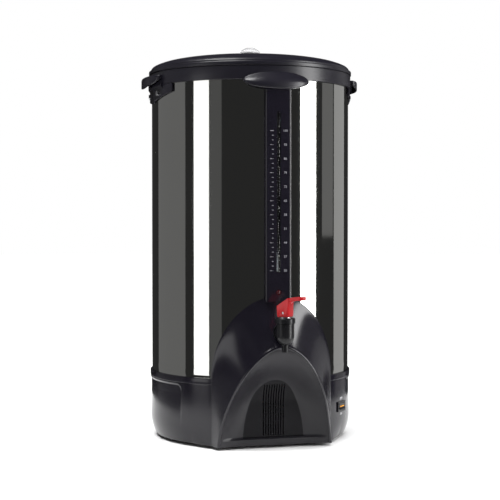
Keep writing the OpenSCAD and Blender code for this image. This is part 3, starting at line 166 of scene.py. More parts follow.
def build_world():
    """White where the camera sees it, and nearly dark to everything else."""
    world = bpy.data.worlds.new("studio")
    world.use_nodes = True
    tree = world.node_tree
    tree.nodes.clear()
    out, mix = add(tree, "ShaderNodeOutputWorld"), add(tree, "ShaderNodeMixShader")
    path = add(tree, "ShaderNodeLightPath")
    seen, room = add(tree, "ShaderNodeBackground"), add(tree, "ShaderNodeBackground")
    seen.inputs["Color"].default_value = (1, 1, 1, 1)
    room.inputs["Color"].default_value = ROOM
    connect(tree, (path, "Is Camera Ray", mix, 0), (room, 0, mix, 1), (seen, 0, mix, 2), (mix, 0, out, 0))
    bpy.context.scene.world = world


def soft_box(name, turn, tilt, distance, width, height, power, z=0.35):
    """An area light seen from the urn at an angle round from the front and an angle above the level."""
    light = bpy.data.lights.new(name, "AREA")
    light.shape = "RECTANGLE"
    light.size, light.size_y = width, height
    light.energy = power
    lamp = in_scene(name, light)
    a, e = math.radians(turn), math.radians(tilt)
    away = Vector((math.sin(a) * math.cos(e), -math.cos(a) * math.cos(e), math.sin(e)))
    lamp.location = Vector((0, 0, z)) + away * distance
    lamp.rotation_euler = (-away).to_track_quat("-Z", "Y").to_euler()
    return lamp


build_world()
soft_box("left_strip", -70.5, 0, 1.9, 0.64, 0.84, 3.3, z=0.27)
soft_box("right_strip", 53.5, 0, 1.9, 0.69, 2.6, 60)
soft_box("left_grey", -119, 0, 2.0, 2.0, 2.6, 2.5)
soft_box("left_glow", -53, 0, 2.1, 0.5, 2.6, 0.32)
soft_box("right_grey", 110, 0, 2.0, 1.0, 2.6, 3.2)
soft_box("right_glow", 84, 0, 2.1, 0.74, 1.4, 0.5, z=0.95)
soft_box("overhead", -60, 58, 1.6, 0.9, 0.5, 26, z=0.5)

# The sheet of paper is lit evenly from straight above, by a light that the gloss doesn't see
sky = bpy.data.lights.new("sky", "SUN")
sky.energy, sky.angle = 3.7, math.radians(60)
sky_lamp = in_scene("sky", sky)
sky_lamp.visible_glossy = False

# %% [markdown]
# ## Shader groups
# Three effects recur on this urn. Moulded plastic has a fine orange-peel ripple. Every handled surface has
# patches that are a little rougher than the rest. Rolled and drawn steel has fine lines along its grain.
# Each is a node group with named inputs, so that a material only says how much of it there is.

# %% Build the shared groups
def build_peel():
    group, source, sink = new_tree("ShaderNodeTree", "orange_peel", {"Scale": 900, "Depth": 1},
                                   {"Height": "Float"})
    place = add(group, "ShaderNodeTexCoord")
    noise = add(group, "ShaderNodeTexNoise", detail=2.0, roughness=0.5)
    deep = add(group, "ShaderNodeMath", operation="MULTIPLY")
    connect(group, (place, "Object", noise, "Vector"), (source, "Scale", noise, "Scale"),
            (noise, "Fac", deep, 0), (source, "Depth", deep, 1), (deep, 0, sink, "Height"))
    return group


def build_handling():
    group, source, sink = new_tree("ShaderNodeTree", "handling", {"Scale": 14, "Low": 0.1, "High": 0.2},
                                   {"Roughness": "Float", "Mask": "Float"})
    place = add(group, "ShaderNodeTexCoord")
    noise = add(group, "ShaderNodeTexNoise", detail=5.0, roughness=0.6)
    spread = add(group, "ShaderNodeMapRange", from_min=0.35, from_max=0.7)
    connect(group, (place, "Object", noise, "Vector"), (source, "Scale", noise, "Scale"),
            (noise, "Fac", spread, "Value"), (source, "Low", spread, "To Min"),
            (source, "High", spread, "To Max"), (spread, 0, sink, "Roughness"), (noise, "Fac", sink, "Mask"))
    return group


def build_grain():
    group, source, sink = new_tree("ShaderNodeTree", "steel_grain", {"Across": 700, "Along": 4, "Depth": 1},
                                   {"Height": "Float", "Mask": "Float"})
    place, stretch = add(group, "ShaderNodeTexCoord"), add(group, "ShaderNodeCombineXYZ")
    scaled = add(group, "ShaderNodeVectorMath", operation="MULTIPLY")
    noise = add(group, "ShaderNodeTexNoise", scale=1.0, detail=3.0)
    deep = add(group, "ShaderNodeMath", operation="MULTIPLY")
    connect(group, (source, "Along", stretch, 0), (source, "Along", stretch, 1),
            (source, "Across", stretch, 2), (place, "Object", scaled, 0), (stretch, 0, scaled, 1),
            (scaled, 0, noise, "Vector"), (noise, "Fac", deep, 0), (source, "Depth", deep, 1),
            (deep, 0, sink, "Height"), (noise, "Fac", sink, "Mask"))
    return group


peel, handling, grain = build_peel(), build_handling(), build_grain()
print("shader groups:", [g.name for g in (peel, handling, grain)])

# %% [markdown]
# ## Finishes
# A finish is a Principled shader with its constants on its own sockets. Colour drifts a little between two
# close tones, roughness comes from the handling group, and relief comes from the peel or the grain. The same
# helper builds them all, and each finish below says only what is special about it.

# %% Helper for finishes
SOCKET_OF = {"metallic": "Metallic", "ior": "IOR", "specular": "Specular IOR Level",
             "transmission": "Transmission Weight"}


def use(tree, group, **values):
    """A node that holds a shared group, with its inputs set by name."""
    node = tree.nodes.new("ShaderNodeGroup")
    node.node_tree = group
    for key, value in values.items():
        node.inputs[key.title()].default_value = value
    return node


def peeled(scale, bump, depth):
    """Relief from the orange peel, with its strength and its depth in metres."""
    return peel, {"scale": scale}, bump, depth


def grained(across, along, bump, depth):
    """Relief from the steel's grain, with its strength and its depth in metres."""
    return grain, {"across": across, "along": along}, bump, depth


def finish(name, tones, rough, patch, relief=None, **constants):
    """A material: two close tones, a roughness range, the scale of its patches, relief and constants."""
    material = bpy.data.materials.new(name)
    material.use_nodes = True
    tree = material.node_tree
    shader = tree.nodes["Principled BSDF"]
    worn = use(tree, handling, scale=patch, low=rough[0], high=rough[1])
    tone = add(tree, "ShaderNodeMix", data_type="RGBA")
    tone.inputs[6].default_value = (*tones[0], 1)
    tone.inputs[7].default_value = (*tones[1], 1)
    connect(tree, (worn, "Roughness", shader, "Roughness"), (worn, "Mask", tone, 0),
            (tone, 2, shader, "Base Color"))
    if relief:
        group, values, bump, depth = relief
        raised = add(tree, "ShaderNodeBump", strength=bump, distance=depth)
        connect(tree, (use(tree, group, **values), "Height", raised, "Height"),
                (raised, "Normal", shader, "Normal"))
    for label, value in constants.items():
        shader.inputs[SOCKET_OF[label]].default_value = value
    return material


def painted(mesh, *materials):
    """The mesh with these materials and no others."""
    mesh.materials.clear()
    for material in materials:
        mesh.materials.append(material)
    return mesh

# %% Steels
mirror_steel = finish("mirror_steel", [(0.56, 0.56, 0.54), (0.60, 0.60, 0.58)], (0.035, 0.07), 6,
                      grained(5, 18, 0.10, 0.0006), metallic=1.0)
satin_steel = finish("satin_steel", [(0.52, 0.52, 0.52), (0.60, 0.60, 0.60)], (0.22, 0.36), 30,
                     grained(900, 30, 0.2, 0.00003), metallic=1.0)
zinc_steel = finish("zinc_steel", [(0.48, 0.49, 0.50), (0.58, 0.58, 0.60)], (0.25, 0.42), 60,
                    peeled(1500, 0.3, 0.00003), metallic=1.0)
heater_metal = finish("heater_metal", [(0.50, 0.50, 0.49), (0.66, 0.66, 0.65)], (0.35, 0.55), 45,
                      peeled(800, 0.4, 0.00006), metallic=1.0)
brass_plated = finish("brass_plated", [(0.62, 0.55, 0.40), (0.70, 0.66, 0.54)], (0.18, 0.32), 80,
                      peeled(1600, 0.2, 0.00003), metallic=1.0)

# %% Plastics, rubber and ceramic
gloss_black = finish("gloss_black", [(0.005, 0.0045, 0.0075), (0.008, 0.007, 0.011)], (0.11, 0.17), 16,
                     peeled(420, 0.12, 0.00006), specular=0.4)
lid_black = finish("lid_black", [(0.006, 0.0055, 0.009), (0.009, 0.008, 0.013)], (0.3, 0.38), 16,
                   peeled(420, 0.2, 0.00006), specular=0.45)
cowl_black = finish("cowl_black", [(0.005, 0.0045, 0.0075), (0.008, 0.007, 0.011)], (0.15, 0.22), 16,
                    peeled(420, 0.12, 0.00006), specular=0.42)
cove_black = finish("cove_black", [(0.009, 0.0085, 0.011), (0.013, 0.012, 0.015)], (0.36, 0.46), 22,
                    peeled(700, 0.35, 0.00008), specular=0.34)
# Painted shade: the cove's flat back gets a darker, less glossy copy of the cove's finish, which stands in
# for the shade on it
painted_shade_back = finish("painted_shade_back", [(0.004, 0.004, 0.005), (0.007, 0.0065, 0.008)], (0.4, 0.5), 22,
                    peeled(700, 0.3, 0.00008), specular=0.12)
tap_black = finish("tap_black", [(0.004, 0.004, 0.005), (0.007, 0.007, 0.008)], (0.28, 0.38), 40,
                   peeled(500, 0.12, 0.00006), specular=0.25)
soft_rubber = finish("soft_rubber", [(0.018, 0.018, 0.018), (0.03, 0.03, 0.03)], (0.6, 0.78), 50,
                     peeled(1500, 0.5, 0.0001))
lever_red = finish("lever_red", [(0.27, 0.003, 0.006), (0.36, 0.006, 0.009)], (0.2, 0.3), 60,
                   peeled(300, 0.5, 0.0003), specular=0.35)
ceramic = finish("ceramic", [(0.72, 0.70, 0.62), (0.80, 0.78, 0.71)], (0.5, 0.66), 70,
                 peeled(1200, 0.4, 0.00006))
seat_white = finish("seat_white", [(0.66, 0.65, 0.60), (0.74, 0.73, 0.69)], (0.45, 0.6), 90,
                    peeled(1300, 0.4, 0.00005))
print_white = finish("print_white", [(0.56, 0.56, 0.58), (0.64, 0.64, 0.66)], (0.4, 0.55), 300,
                     peeled(3000, 0.3, 0.00002))
print_grey = finish("print_grey", [(0.20, 0.20, 0.22), (0.26, 0.26, 0.28)], (0.4, 0.55), 300,
                    peeled(3000, 0.3, 0.00002))

# %% Wires, and pieces that let light through
brown_wire = finish("brown_wire", [(0.20, 0.10, 0.05), (0.26, 0.14, 0.07)], (0.4, 0.55), 70,
                    peeled(1500, 0.3, 0.00004))
red_wire = finish("red_wire", [(0.42, 0.04, 0.03), (0.50, 0.07, 0.05)], (0.4, 0.55), 70,
                  peeled(1500, 0.3, 0.00004))
grey_wire = finish("grey_wire", [(0.34, 0.34, 0.35), (0.42, 0.42, 0.43)], (0.4, 0.55), 70,
                   peeled(1500, 0.3, 0.00004))
gauge_clear = finish("gauge_clear", [(0.90, 0.93, 0.95), (0.95, 0.97, 0.98)], (0.02, 0.05), 30,
                     transmission=1.0, ior=1.49)
knob_clear = finish("knob_clear", [(0.95, 0.95, 0.96), (0.98, 0.98, 0.985)], (0.16, 0.28), 40,
                    peeled(300, 0.15, 0.0001), transmission=0.7, ior=1.25)
lamp_red = finish("lamp_red", [(0.022, 0.0006, 0.002), (0.034, 0.001, 0.003)], (0.2, 0.3), 120,
                  peeled(900, 0.3, 0.0001), specular=0.3)
lens_amber = finish("lens_amber", [(0.75, 0.30, 0.02), (0.85, 0.38, 0.04)], (0.15, 0.25), 120,
                    peeled(900, 0.3, 0.0001), transmission=0.15)
print("finishes:", len(bpy.data.materials))

# %% [markdown]
# ## Dressing the CAD pieces
# Every CAD piece that stays gets the finish of its slot in the record. Its mesh is loose triangles, so a
# small Geometry Nodes modifier merges them for display and smooths the shading wherever two faces meet at
# less than a set angle. The mesh itself isn't touched.

# %% Give each CAD piece its finish
FINISH_OF_SLOT = {
    "steel": satin_steel, "heater_metal": heater_metal, "zinc_steel": zinc_steel, "ceramic": ceramic,
    "mains_insulation": brown_wire, "heater_insulation": red_wire, "lamp_insulation": grey_wire,
    "gloss_black": gloss_black, "satin_black": tap_black, "rubber": soft_rubber,
    "gauge_clear": gauge_clear, "knob_clear": knob_clear, "lamp_red": lamp_red, "lever_red": lever_red,
    "seat_white": seat_white, "spring_steel": satin_steel, "lens_amber": lens_amber,
    "pin_brass": brass_plated,
}


def build_soften():
    """Merge the triangles' corners, and smooth the shading where faces meet at a small angle."""
    tree, source, sink = new_tree("GeometryNodeTree", "soften",
                                  {"Geometry": "Geometry", "Smooth Angle": math.radians(32)},
                                  {"Geometry": "Geometry"})
    merge = add(tree, "GeometryNodeMergeByDistance", distance=1e-6)
    faces = add(tree, "GeometryNodeSetShadeSmooth")
    edges = add(tree, "GeometryNodeSetShadeSmooth", domain="EDGE")
    angle = add(tree, "GeometryNodeInputMeshEdgeAngle")
    compare = add(tree, "FunctionNodeCompare", operation="LESS_THAN")
    connect(tree, (source, 0, merge, "Geometry"), (merge, 0, faces, "Geometry"),
            (faces, 0, edges, "Geometry"), (angle, "Unsigned Angle", compare, 0),
            (source, "Smooth Angle", compare, 1), (compare, 0, edges, "Shade Smooth"), (edges, 0, sink, 0))
    return tree


soften = build_soften()
for row in frame["record"]["subparts"]:
    piece = frame["nodes"][row["node"]]
    painted(piece.data, FINISH_OF_SLOT[row["material_slot"]])
    piece.modifiers.new("soften", "NODES").node_group = soften

# %% [markdown]
# ## Helpers for new pieces
# Most of the urn is turned: a closed outline of radius and height swept round the axis. The outline's
# corners are rounded first, because a sharp corner never catches the light the way a moulded or rolled edge
# does.

# %% Helpers for outlines
def rounded(points, radii, steps=5):
    """The closed outline with each corner made an arc of its radius, shortened where edges are short."""
    out = []
    n = len(points)
    for k in range(n):
        a, b, c = (np.array(points[(k + d) % n], float) for d in (-1, 0, 1))
        radius = radii[k] if isinstance(radii, (list, tuple)) else radii
        u, v = a - b, c - b
        lu, lv = np.linalg.norm(u), np.linalg.norm(v)
        u, v = u / lu, v / lv
        half = math.acos(max(-1, min(1, float(u @ v)))) / 2
        if radius <= 0 or half > math.radians(88):
            out.append(tuple(b))
            continue
        reach = min(radius / math.tan(half), 0.45 * lu, 0.45 * lv)
        p, q = b + u * reach, b + v * reach
        for s in range(steps + 1):
            t = s / steps
            out.append(tuple((1 - t) ** 2 * p + 2 * t * (1 - t) * b + t * t * q))
    return out


def arc(cx, cy, r, start, end, steps=10):
    """Points along an arc between two angles in degrees."""
    return [(cx + r * math.cos(math.radians(start + (end - start) * k / steps)),
             cy + r * math.sin(math.radians(start + (end - start) * k / steps))) for k in range(steps + 1)]


def ring(cx, cy, r, segments):
    """A circle as a closed outline."""
    return arc(cx, cy, r, 0, 360 - 360 / segments, segments - 1)


def oblong(left, low, right, high):
    """A rectangle as a closed outline."""
    return [(left, low), (right, low), (right, high), (left, high)]

# %% Helpers for meshes
def mesh_of(name, verts, faces):
    """A mesh from vertices in millimetres."""
    mesh = bpy.data.meshes.new(name)
    mesh.from_pydata([tuple(c * MM for c in v) for v in verts], [], faces)
    return mesh


def cleaned(mesh, merge=0.0, collapse=0.0, outward=True):
    """The mesh with near corners merged, slivers collapsed and faces turned outwards, as asked."""
    work = bmesh.new()
    work.from_mesh(mesh)
    if merge:
        bmesh.ops.remove_doubles(work, verts=work.verts, dist=merge)
    if collapse:
        bmesh.ops.dissolve_degenerate(work, edges=work.edges, dist=collapse)
    if outward:
        bmesh.ops.recalc_face_normals(work, faces=work.faces)
    work.to_mesh(mesh)
    work.free()
    return mesh


def shade(mesh, smooth):
    """Smooth shading, with edges sharper than an angle in degrees kept sharp."""
    mesh.shade_smooth()
    mesh.set_sharp_from_angle(angle=math.radians(smooth))


def turned(outline, start=0, end=360, segments=256, centre=(0, 0)):
    """Vertices and faces of a closed outline turned about Z between two angles from the front."""
    whole = end - start >= 360
    count = max(2, round(segments * (end - start) / 360))
    n = len(outline)
    rows = count if whole else count + 1
    verts = []
    for k in range(rows):
        a = math.radians(start + (end - start) * k / count)
        verts += [(centre[0] + r * math.sin(a), centre[1] - r * math.cos(a), z) for r, z in outline]
    faces = []
    for k in range(count):
        a, b = k * n, ((k + 1) % rows) * n
        faces += [(a + j, a + (j + 1) % n, b + (j + 1) % n, b + j) for j in range(n)]
    if not whole:
        faces += [tuple(range(n)), tuple((rows - 1) * n + j for j in range(n))]
    return verts, faces


def together(*parts):
    """Several (vertices, faces) lists as one."""
    verts, faces = [], []
    for v, f in parts:
        faces += [tuple(i + len(verts) for i in face) for face in f]
        verts += v
    return verts, faces

# %% Helpers for pieces
def add_piece(name, verts, faces, body, slot, material, smooth=32):
    """A closed piece from vertices in millimetres that rides on its body."""
    mesh = cleaned(painted(mesh_of(name, verts, faces), material), 1e-7, 1e-8)
    shade(mesh, smooth)
    piece = in_scene(name, mesh)
    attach(piece, body)
    return piece


def baked(piece):
    """The piece with its modifiers turned into a plain mesh."""
    graph = bpy.context.evaluated_depsgraph_get()
    mesh = bpy.data.meshes.new_from_object(piece.evaluated_get(graph), preserve_all_data_layers=True,
                                           depsgraph=graph)
    mesh.name = piece.name
    piece.modifiers.clear()
    piece.data = mesh
    return piece


def carve(piece, other, operation="DIFFERENCE"):
    """Cut another object out of the piece, or keep what both hold, or join them. The other is used up."""
    step = piece.modifiers.new("carve", "BOOLEAN")
    step.operation, step.solver, step.object = operation, "EXACT", other
    baked(piece)
    bpy.data.objects.remove(other)


def fresh(piece, node):
    """The piece stands for a CAD node."""
    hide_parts(node)
    print(piece.name, "stands for", node, "with", len(piece.data.polygons), "faces")
    return piece

# %% [markdown]
# ## Tank
# The tank is drawn from thin stainless sheet and polished until it mirrors the room. Its rim is rolled
# outward into a bead. It is one turned shell with a floor, and a skirt below the floor that is left out at
# the front, where the cup cove goes in. A turned mesh with many segments keeps the bands of reflection
# straight.

# %% Turn the tank
BEAD_R = 1.5
WELL_R = 25.25
NOTCH_HALF = 56
NOTCH_TURN = math.degrees(math.asin(NOTCH_HALF / tank_r)) + 0.2
tank_in, floor_low, floor_top = tank_r - tank_wall, floor_z + 0.02, floor_z + 1


def tank_outline():
    """Up the wall, round the rolled bead, down inside, and over the floor to the heating well."""
    neck = rim_z - 3.2
    bead = arc(tank_r - BEAD_R, rim_z - BEAD_R, BEAD_R, -60, 240, 20)
    inside = [(tank_in, neck), (tank_in, floor_z + 4), (tank_in - 1.2, floor_z + 1.8),
              (tank_in - 3, floor_top)]
    return [(tank_r, floor_low), (tank_r, neck)] + bead + inside + [(WELL_R, floor_top), (WELL_R, floor_low)]


skirt = rounded(oblong(tank_in, tank_low, tank_r, floor_low), 0.2, 2)
tank_parts = together(turned(tank_outline()), turned(skirt, NOTCH_TURN, 360 - NOTCH_TURN))
fresh(add_piece("tank_shell", *tank_parts, "urn", "steel", mirror_steel), "tank")

# %% [markdown]
# ## Front cowl
# The cowl is the black arch round the cup cove. Its outer skin starts flush with the tank and swells out to
# a lip that leans forward over the cup, and from the lip the cove runs back to a flat wall with vent slots.
# A surface like this follows a rule at each station up the arch, so it is sampled as a grid, much finer than
# the solid, given its wall by Solidify, and then slotted. The skin is glossy, the cove is satin, and its
# flat back above the sill is painted darker still, as painted shade.

# %% The cowl's rule
COWL_HALF, COWL_TOP, COVE_HALF, COVE_TOP = 82.0, span("front_cowl", 2)[1], 73.5, 134.0
LIP_LOW, LIP_HIGH, LIP_W = 129.0, 163.5, 4.5
COVE_BACK, BACK_HALF, LEAN_Z, BACK_TOP, SPINE_TOP = 120.0, 40.0, 60.0, 88.0, 56.0
SILL_H, SILL_T, COVE_FOOT = 13.0, 4.0, -4.0
COWL_EDGE_R = tank_r + 2.3
COVE_RISE = COVE_TOP - COVE_FOOT
OUTER_START = math.asin((base_low - COVE_FOOT) / (COWL_TOP - COVE_FOOT))
INNER_START = math.asin((base_low - COVE_FOOT) / COVE_RISE)
SKIN_STEPS, COVE_STEPS, BACK_STEPS, STATIONS = 26, 26, 10, 110
LIP_ROLL = ((0.12, 0.55), (0.3, 0.95), (0.5, 1.05), (0.7, 0.9), (0.88, 0.45))
COVE_COLUMN = SKIN_STEPS + len(LIP_ROLL)
BACK_COLUMN = COVE_COLUMN + COVE_STEPS


def lip_v(z):
    """How far forward the lip stands at a height."""
    return LIP_LOW + (LIP_HIGH - LIP_LOW) * (1 - math.cos(math.pi * min(z / (COVE_TOP + 6), 1))) / 2


def back_v(z):
    """How far forward the cove's back stands: a sill at the foot, and a lean towards the top."""
    sill = SILL_T * min(1, max(0, (SILL_H + 1 - z) / 1.2))
    lean = max(0, (z - LEAN_Z) / (COVE_TOP - LEAN_Z)) ** 1.6
    return COVE_BACK + sill + (LIP_HIGH - COVE_BACK) * lean


def mix(a, b, t):
    """The value a share t of the way from a to b."""
    return a + (b - a) * t


def squeeze(z, top):
    """A height in the cove brought down so that the cove's top comes to a level."""
    start = SILL_H + 2
    return z if z <= start else start + (z - start) * (top - start) / (COVE_TOP - start)


def station(f):
    """The edge of the arch, the lip's inner edge and the cosine of the angle round the cove, at a share f."""
    outer, inner = (mix(s, math.pi / 2, f) for s in (OUTER_START, INNER_START))
    ez = COVE_FOOT + (COWL_TOP - COVE_FOOT) * math.sin(outer)
    ex = COWL_HALF * math.sqrt(max(0, 1 - max(0, (ez - base_h) / (COWL_TOP - base_h)) ** 2)) if f < 1 else 0
    c = max(0, math.cos(inner)) if f < 1 else 0
    return ex, ez, COVE_HALF * c ** 1.16, COVE_FOOT + COVE_RISE * math.sin(inner), c


def cowl_row(f):
    """Points (x, forward, z) from the arch's edge over the lip and through the cove to the centre line."""
    ex, ez, ix, iz, c = station(f)
    size = math.hypot(ex - ix, ez - iz)
    ox, oz = ix + (ex - ix) * LIP_W / size, iz + (ez - iz) * LIP_W / size
    edge_v, out_v, power = math.sqrt(COWL_EDGE_R ** 2 - ex * ex), lip_v(iz), 1.2 + 0.6 * f ** 4
    row = []
    for k in range(SKIN_STEPS + 1):
        s = k / SKIN_STEPS
        row.append((mix(ex, ox, s), mix(edge_v, out_v, s ** power), mix(ez, oz, s)))
    for t, proud in LIP_ROLL:
        row.append((mix(ox, ix, t), out_v + proud, mix(oz, iz, t)))
    bx, bz = BACK_HALF * c ** 0.9, squeeze(iz, BACK_TOP)
    for k in range(COVE_STEPS + 1):
        q = (k / COVE_STEPS) ** 1.25
        z = mix(iz, bz, q)
        deep = back_v(z)
        row.append((mix(ix, bx, q), mix(max(out_v - 0.5, deep), deep, 1 - (1 - q) ** 1.7), z))
    for k in range(1, BACK_STEPS + 1):
        q = k / BACK_STEPS
        z = mix(bz, squeeze(iz, SPINE_TOP), q)
        row.append((0 if q == 1 else bx * (1 - q), back_v(z), z))
    return row

# %% Sample the cowl
def cowl_mesh():
    """The left half's rows from the foot to the top, then the right half's back down, as one grid."""
    shares = [0] + [((k + 0.5) / STATIONS) ** 1.15 for k in range(STATIONS)] + [1]
    half = [cowl_row(f) for f in shares]
    rows = ([[(-x, -v, z) for x, v, z in row] for row in half] +
            [[(x, -v, z) for x, v, z in row] for row in reversed(half[:-1])])
    n = len(rows[0])
    verts = [p for row in rows for p in row]
    faces = [(i * n + j, i * n + j + 1, (i + 1) * n + j + 1, (i + 1) * n + j)
             for i in range(len(rows) - 1) for j in range(n - 1)]
    return mesh_of("cowl_skin", verts, faces), n


cowl_skin, columns = cowl_mesh()
painted(cowl_skin, cowl_black, cove_black, painted_shade_back)
# Faces of the flat back above the sill get the darker finish, which is painted shade. The sill and the rest
# of the cove keep the cove's finish
for k, face in enumerate(cowl_skin.polygons):
    column = k % (columns - 1)
    above_sill = face.center.z > (SILL_H + 1) * MM
    face.material_index = 0 if column < COVE_COLUMN else 2 if column >= BACK_COLUMN and above_sill else 1
cleaned(cowl_skin, 2e-6, 1e-7, outward=False)
print("cowl grid:", len(cowl_skin.vertices), "points,", columns, "across the section")

# %% [markdown]
# ## Vent slots
# The cove's back has a row of nine vent slots. A row of equal cutters is a pattern, so Geometry Nodes makes
# it: a line of points, one block on each, made real at the end. The same tree makes the gauge's ticks later,
# since a tick is a block on a line too. The cutters are taken out of the cowl with a Boolean.

# %% A row of blocks with Geometry Nodes
def build_block_row():
    tree, source, sink = new_tree("GeometryNodeTree", "block_row",
                                  {"Geometry": "Geometry", "Count": "Int", "Start": "Vector",
                                   "Step": "Vector", "Size": "Vector", "Material": "Material"},
                                  {"Geometry": "Geometry"})
    line, block = add(tree, "GeometryNodeMeshLine"), add(tree, "GeometryNodeMeshCube")
    place, real = add(tree, "GeometryNodeInstanceOnPoints"), add(tree, "GeometryNodeRealizeInstances")
    paint = add(tree, "GeometryNodeSetMaterial")
    connect(tree, (source, "Count", line, "Count"), (source, "Start", line, "Start Location"),
            (source, "Step", line, "Offset"), (source, "Size", block, "Size"), (line, 0, place, "Points"),
            (block, "Mesh", place, "Instance"), (place, 0, real, 0), (real, 0, paint, "Geometry"),
            (source, "Material", paint, "Material"), (paint, 0, sink, 0))
    return tree


def made_by(tree, name, values):
    """A plain mesh object made by a Geometry Nodes tree, with its inputs set by their names."""
    carrier = in_scene(name, bpy.data.meshes.new(name))
    modifier = carrier.modifiers.new(tree.name, "NODES")
    modifier.node_group = tree
    for item in tree.interface.items_tree:
        if item.item_type == "SOCKET" and item.in_out == "INPUT" and item.name in values:
            modifier[item.identifier] = values[item.name]
    return baked(carrier)


def row_of(name, count, start, step, size, material):
    """A row of blocks, with its start, its step and the size of a block in millimetres."""
    places = {"Start": start, "Step": step, "Size": size}
    return made_by(block_row, name, {"Count": count, "Material": material} |
                   {label: tuple(c * MM for c in place) for label, place in places.items()})


block_row = build_block_row()

# %% Slot the cowl
VENTS, VENT_PITCH, VENT_W, VENT_LOW, VENT_HIGH = 9, 3.4, 1.4, 16.0, 84.0
VENT_DEPTH, COWL_WALL = 48.0, 2.2
cowl = in_scene("cowl", cowl_skin)
wall = cowl.modifiers.new("wall", "SOLIDIFY")
wall.thickness = COWL_WALL * MM
wall.offset = -1
baked(cowl)
cutter = row_of("vent_cutter", VENTS,
                (-(VENTS - 1) / 2 * VENT_PITCH, -(COVE_BACK + 6), (VENT_LOW + VENT_HIGH) / 2),
                (VENT_PITCH, 0, 0), (VENT_W, VENT_DEPTH, VENT_HIGH - VENT_LOW), cove_black)
carve(cowl, cutter)
shade(cowl.data, 40)
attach(cowl, "urn")
fresh(cowl, "front_cowl")

# %% [markdown]
# ## Lid and knob
# The lid is one moulding: a flat band round its edge, a step, and a low dome that flattens towards the
# middle. A smooth curve through a few heights of the dome gives a surface whose long highlight doesn't
# break.

# %% Turn the lid and its knob
LID_BAND, DOME_H, LID_WALL, LID_RING_R, LID_RING_H, STUD_R = 5.0, 20.0, 2.4, 128.5, 9.0, 4.0
DOME = [(0.982, 0.03), (0.977, 0.15), (0.955, 0.30), (0.90, 0.46), (0.84, 0.58), (0.74, 0.71),
        (0.60, 0.83), (0.42, 0.92), (0.2, 0.98), (0.0, 1.0)]
lid_low = lid_top - LID_BAND - DOME_H


def curve_through(points, steps=6):
    """A smooth curve through the points, ends included."""
    p = [np.array(q, float) for q in points]
    p = [2 * p[0] - p[1]] + p + [2 * p[-1] - p[-2]]
    out = []
    for k in range(1, len(p) - 2):
        a, b, c, d = p[k - 1:k + 3]
        for s in range(steps):
            t = s / steps
            out.append(tuple((2 * b + (c - a) * t + (2 * a - 5 * b + 4 * c - d) * t ** 2 +
                              (3 * b - a - 3 * c + d) * t ** 3) / 2))
    return out + [tuple(p[-2])]


def lid_outline():
    """Round the band, over the dome and back under it."""
    dome_low, band_in = lid_low + LID_BAND, lid_r - 8
    crown = curve_through(DOME)
    band = rounded([(band_in, lid_low), (lid_r, lid_low), (lid_r, dome_low), (lid_r * 0.985, dome_low),
                    (band_in, dome_low)], [0, 1.0, 1.2, 0, 0], 4)[1:-1]
    outer = [(r * lid_r, dome_low + h * DOME_H) for r, h in crown]
    inner = [(r * (lid_r - LID_WALL), dome_low + h * DOME_H - LID_WALL) for r, h in reversed(crown)]
    return band + outer + inner + [(lid_r - LID_WALL - 4, lid_low + LID_WALL)]


lid_shape = [(max(r, STUD_R + FIT), z) for r, z in lid_outline()]
ring_low = lid_low - LID_RING_H
ring_high, ring_in, web_out = ring_low + LID_RING_H, LID_RING_R - 2, lid_r - LID_WALL - 2
lid_ring = rounded([(ring_in, ring_low), (LID_RING_R, ring_low), (LID_RING_R, ring_high),
                    (web_out, ring_high), (web_out, ring_high + LID_WALL), (ring_in, ring_high + LID_WALL)],
                   0.5, 3)
lid_parts = together(turned(lid_shape, segments=224), turned(lid_ring, segments=160))
fresh(add_piece("lid_shell", *lid_parts, "lid", "gloss_black", lid_black, 40), "lid")

knob_low, knob_high = span("lid_knob", 2)
knob_r = span("lid_knob", 0)[1]
seat = lid_top + FIT
knob_shape = rounded([(0, knob_low), (STUD_R, knob_low), (STUD_R, seat), (knob_r * 0.62, seat),
                      (knob_r * 0.55, seat + 3), (knob_r * 0.93, seat + 5.5), (knob_r, seat + 9),
                      (knob_r * 0.86, knob_high - 3.2), (knob_r * 0.45, knob_high - 0.2), (0, knob_high)],
                     [0, 0.4, 0.3, 1.2, 1.8, 2.5, 4, 4, 5, 0], 6)
fresh(add_piece("knob", *turned(knob_shape, segments=96), "lid", "knob_clear", knob_clear, 50), "lid_knob")

# %% [markdown]
# ## Collar and its hood
# The collar clips over the tank's rim. At the front it swells into a hood, an ellipse in front view, whose
# lower edge hangs over the gauge like an eyebrow. The hood is lofted: at each place across it a section of
# its thickness is drawn, tallest in the middle, and the sections are joined.

# %% Turn the collar and loft the hood
COLLAR_R, COLLAR_BORE, SHELL_IN = 140.0, 131.0, tank_r + 0.3
HOOD_HALF, HOOD_RISE, HOOD_R, HOOD_Z = 45.0, 12.2, -span("collar", 1)[0], collar_low - 1
LIP_CURL = ((1.0, 0.12), (0.96, 0.05), (0.86, 0.012), (0.7, 0.0))


def lofted(outlines):
    """Vertices and faces through closed outlines of equal length, capped at both ends."""
    n = len(outlines[0])
    verts = [p for outline in outlines for p in outline]
    faces = [(i * n + j, i * n + (j + 1) % n, (i + 1) * n + (j + 1) % n, (i + 1) * n + j)
             for i in range(len(outlines) - 1) for j in range(n)]
    faces += [tuple(range(n)), tuple((len(outlines) - 1) * n + j for j in range(n))]
    return verts, faces


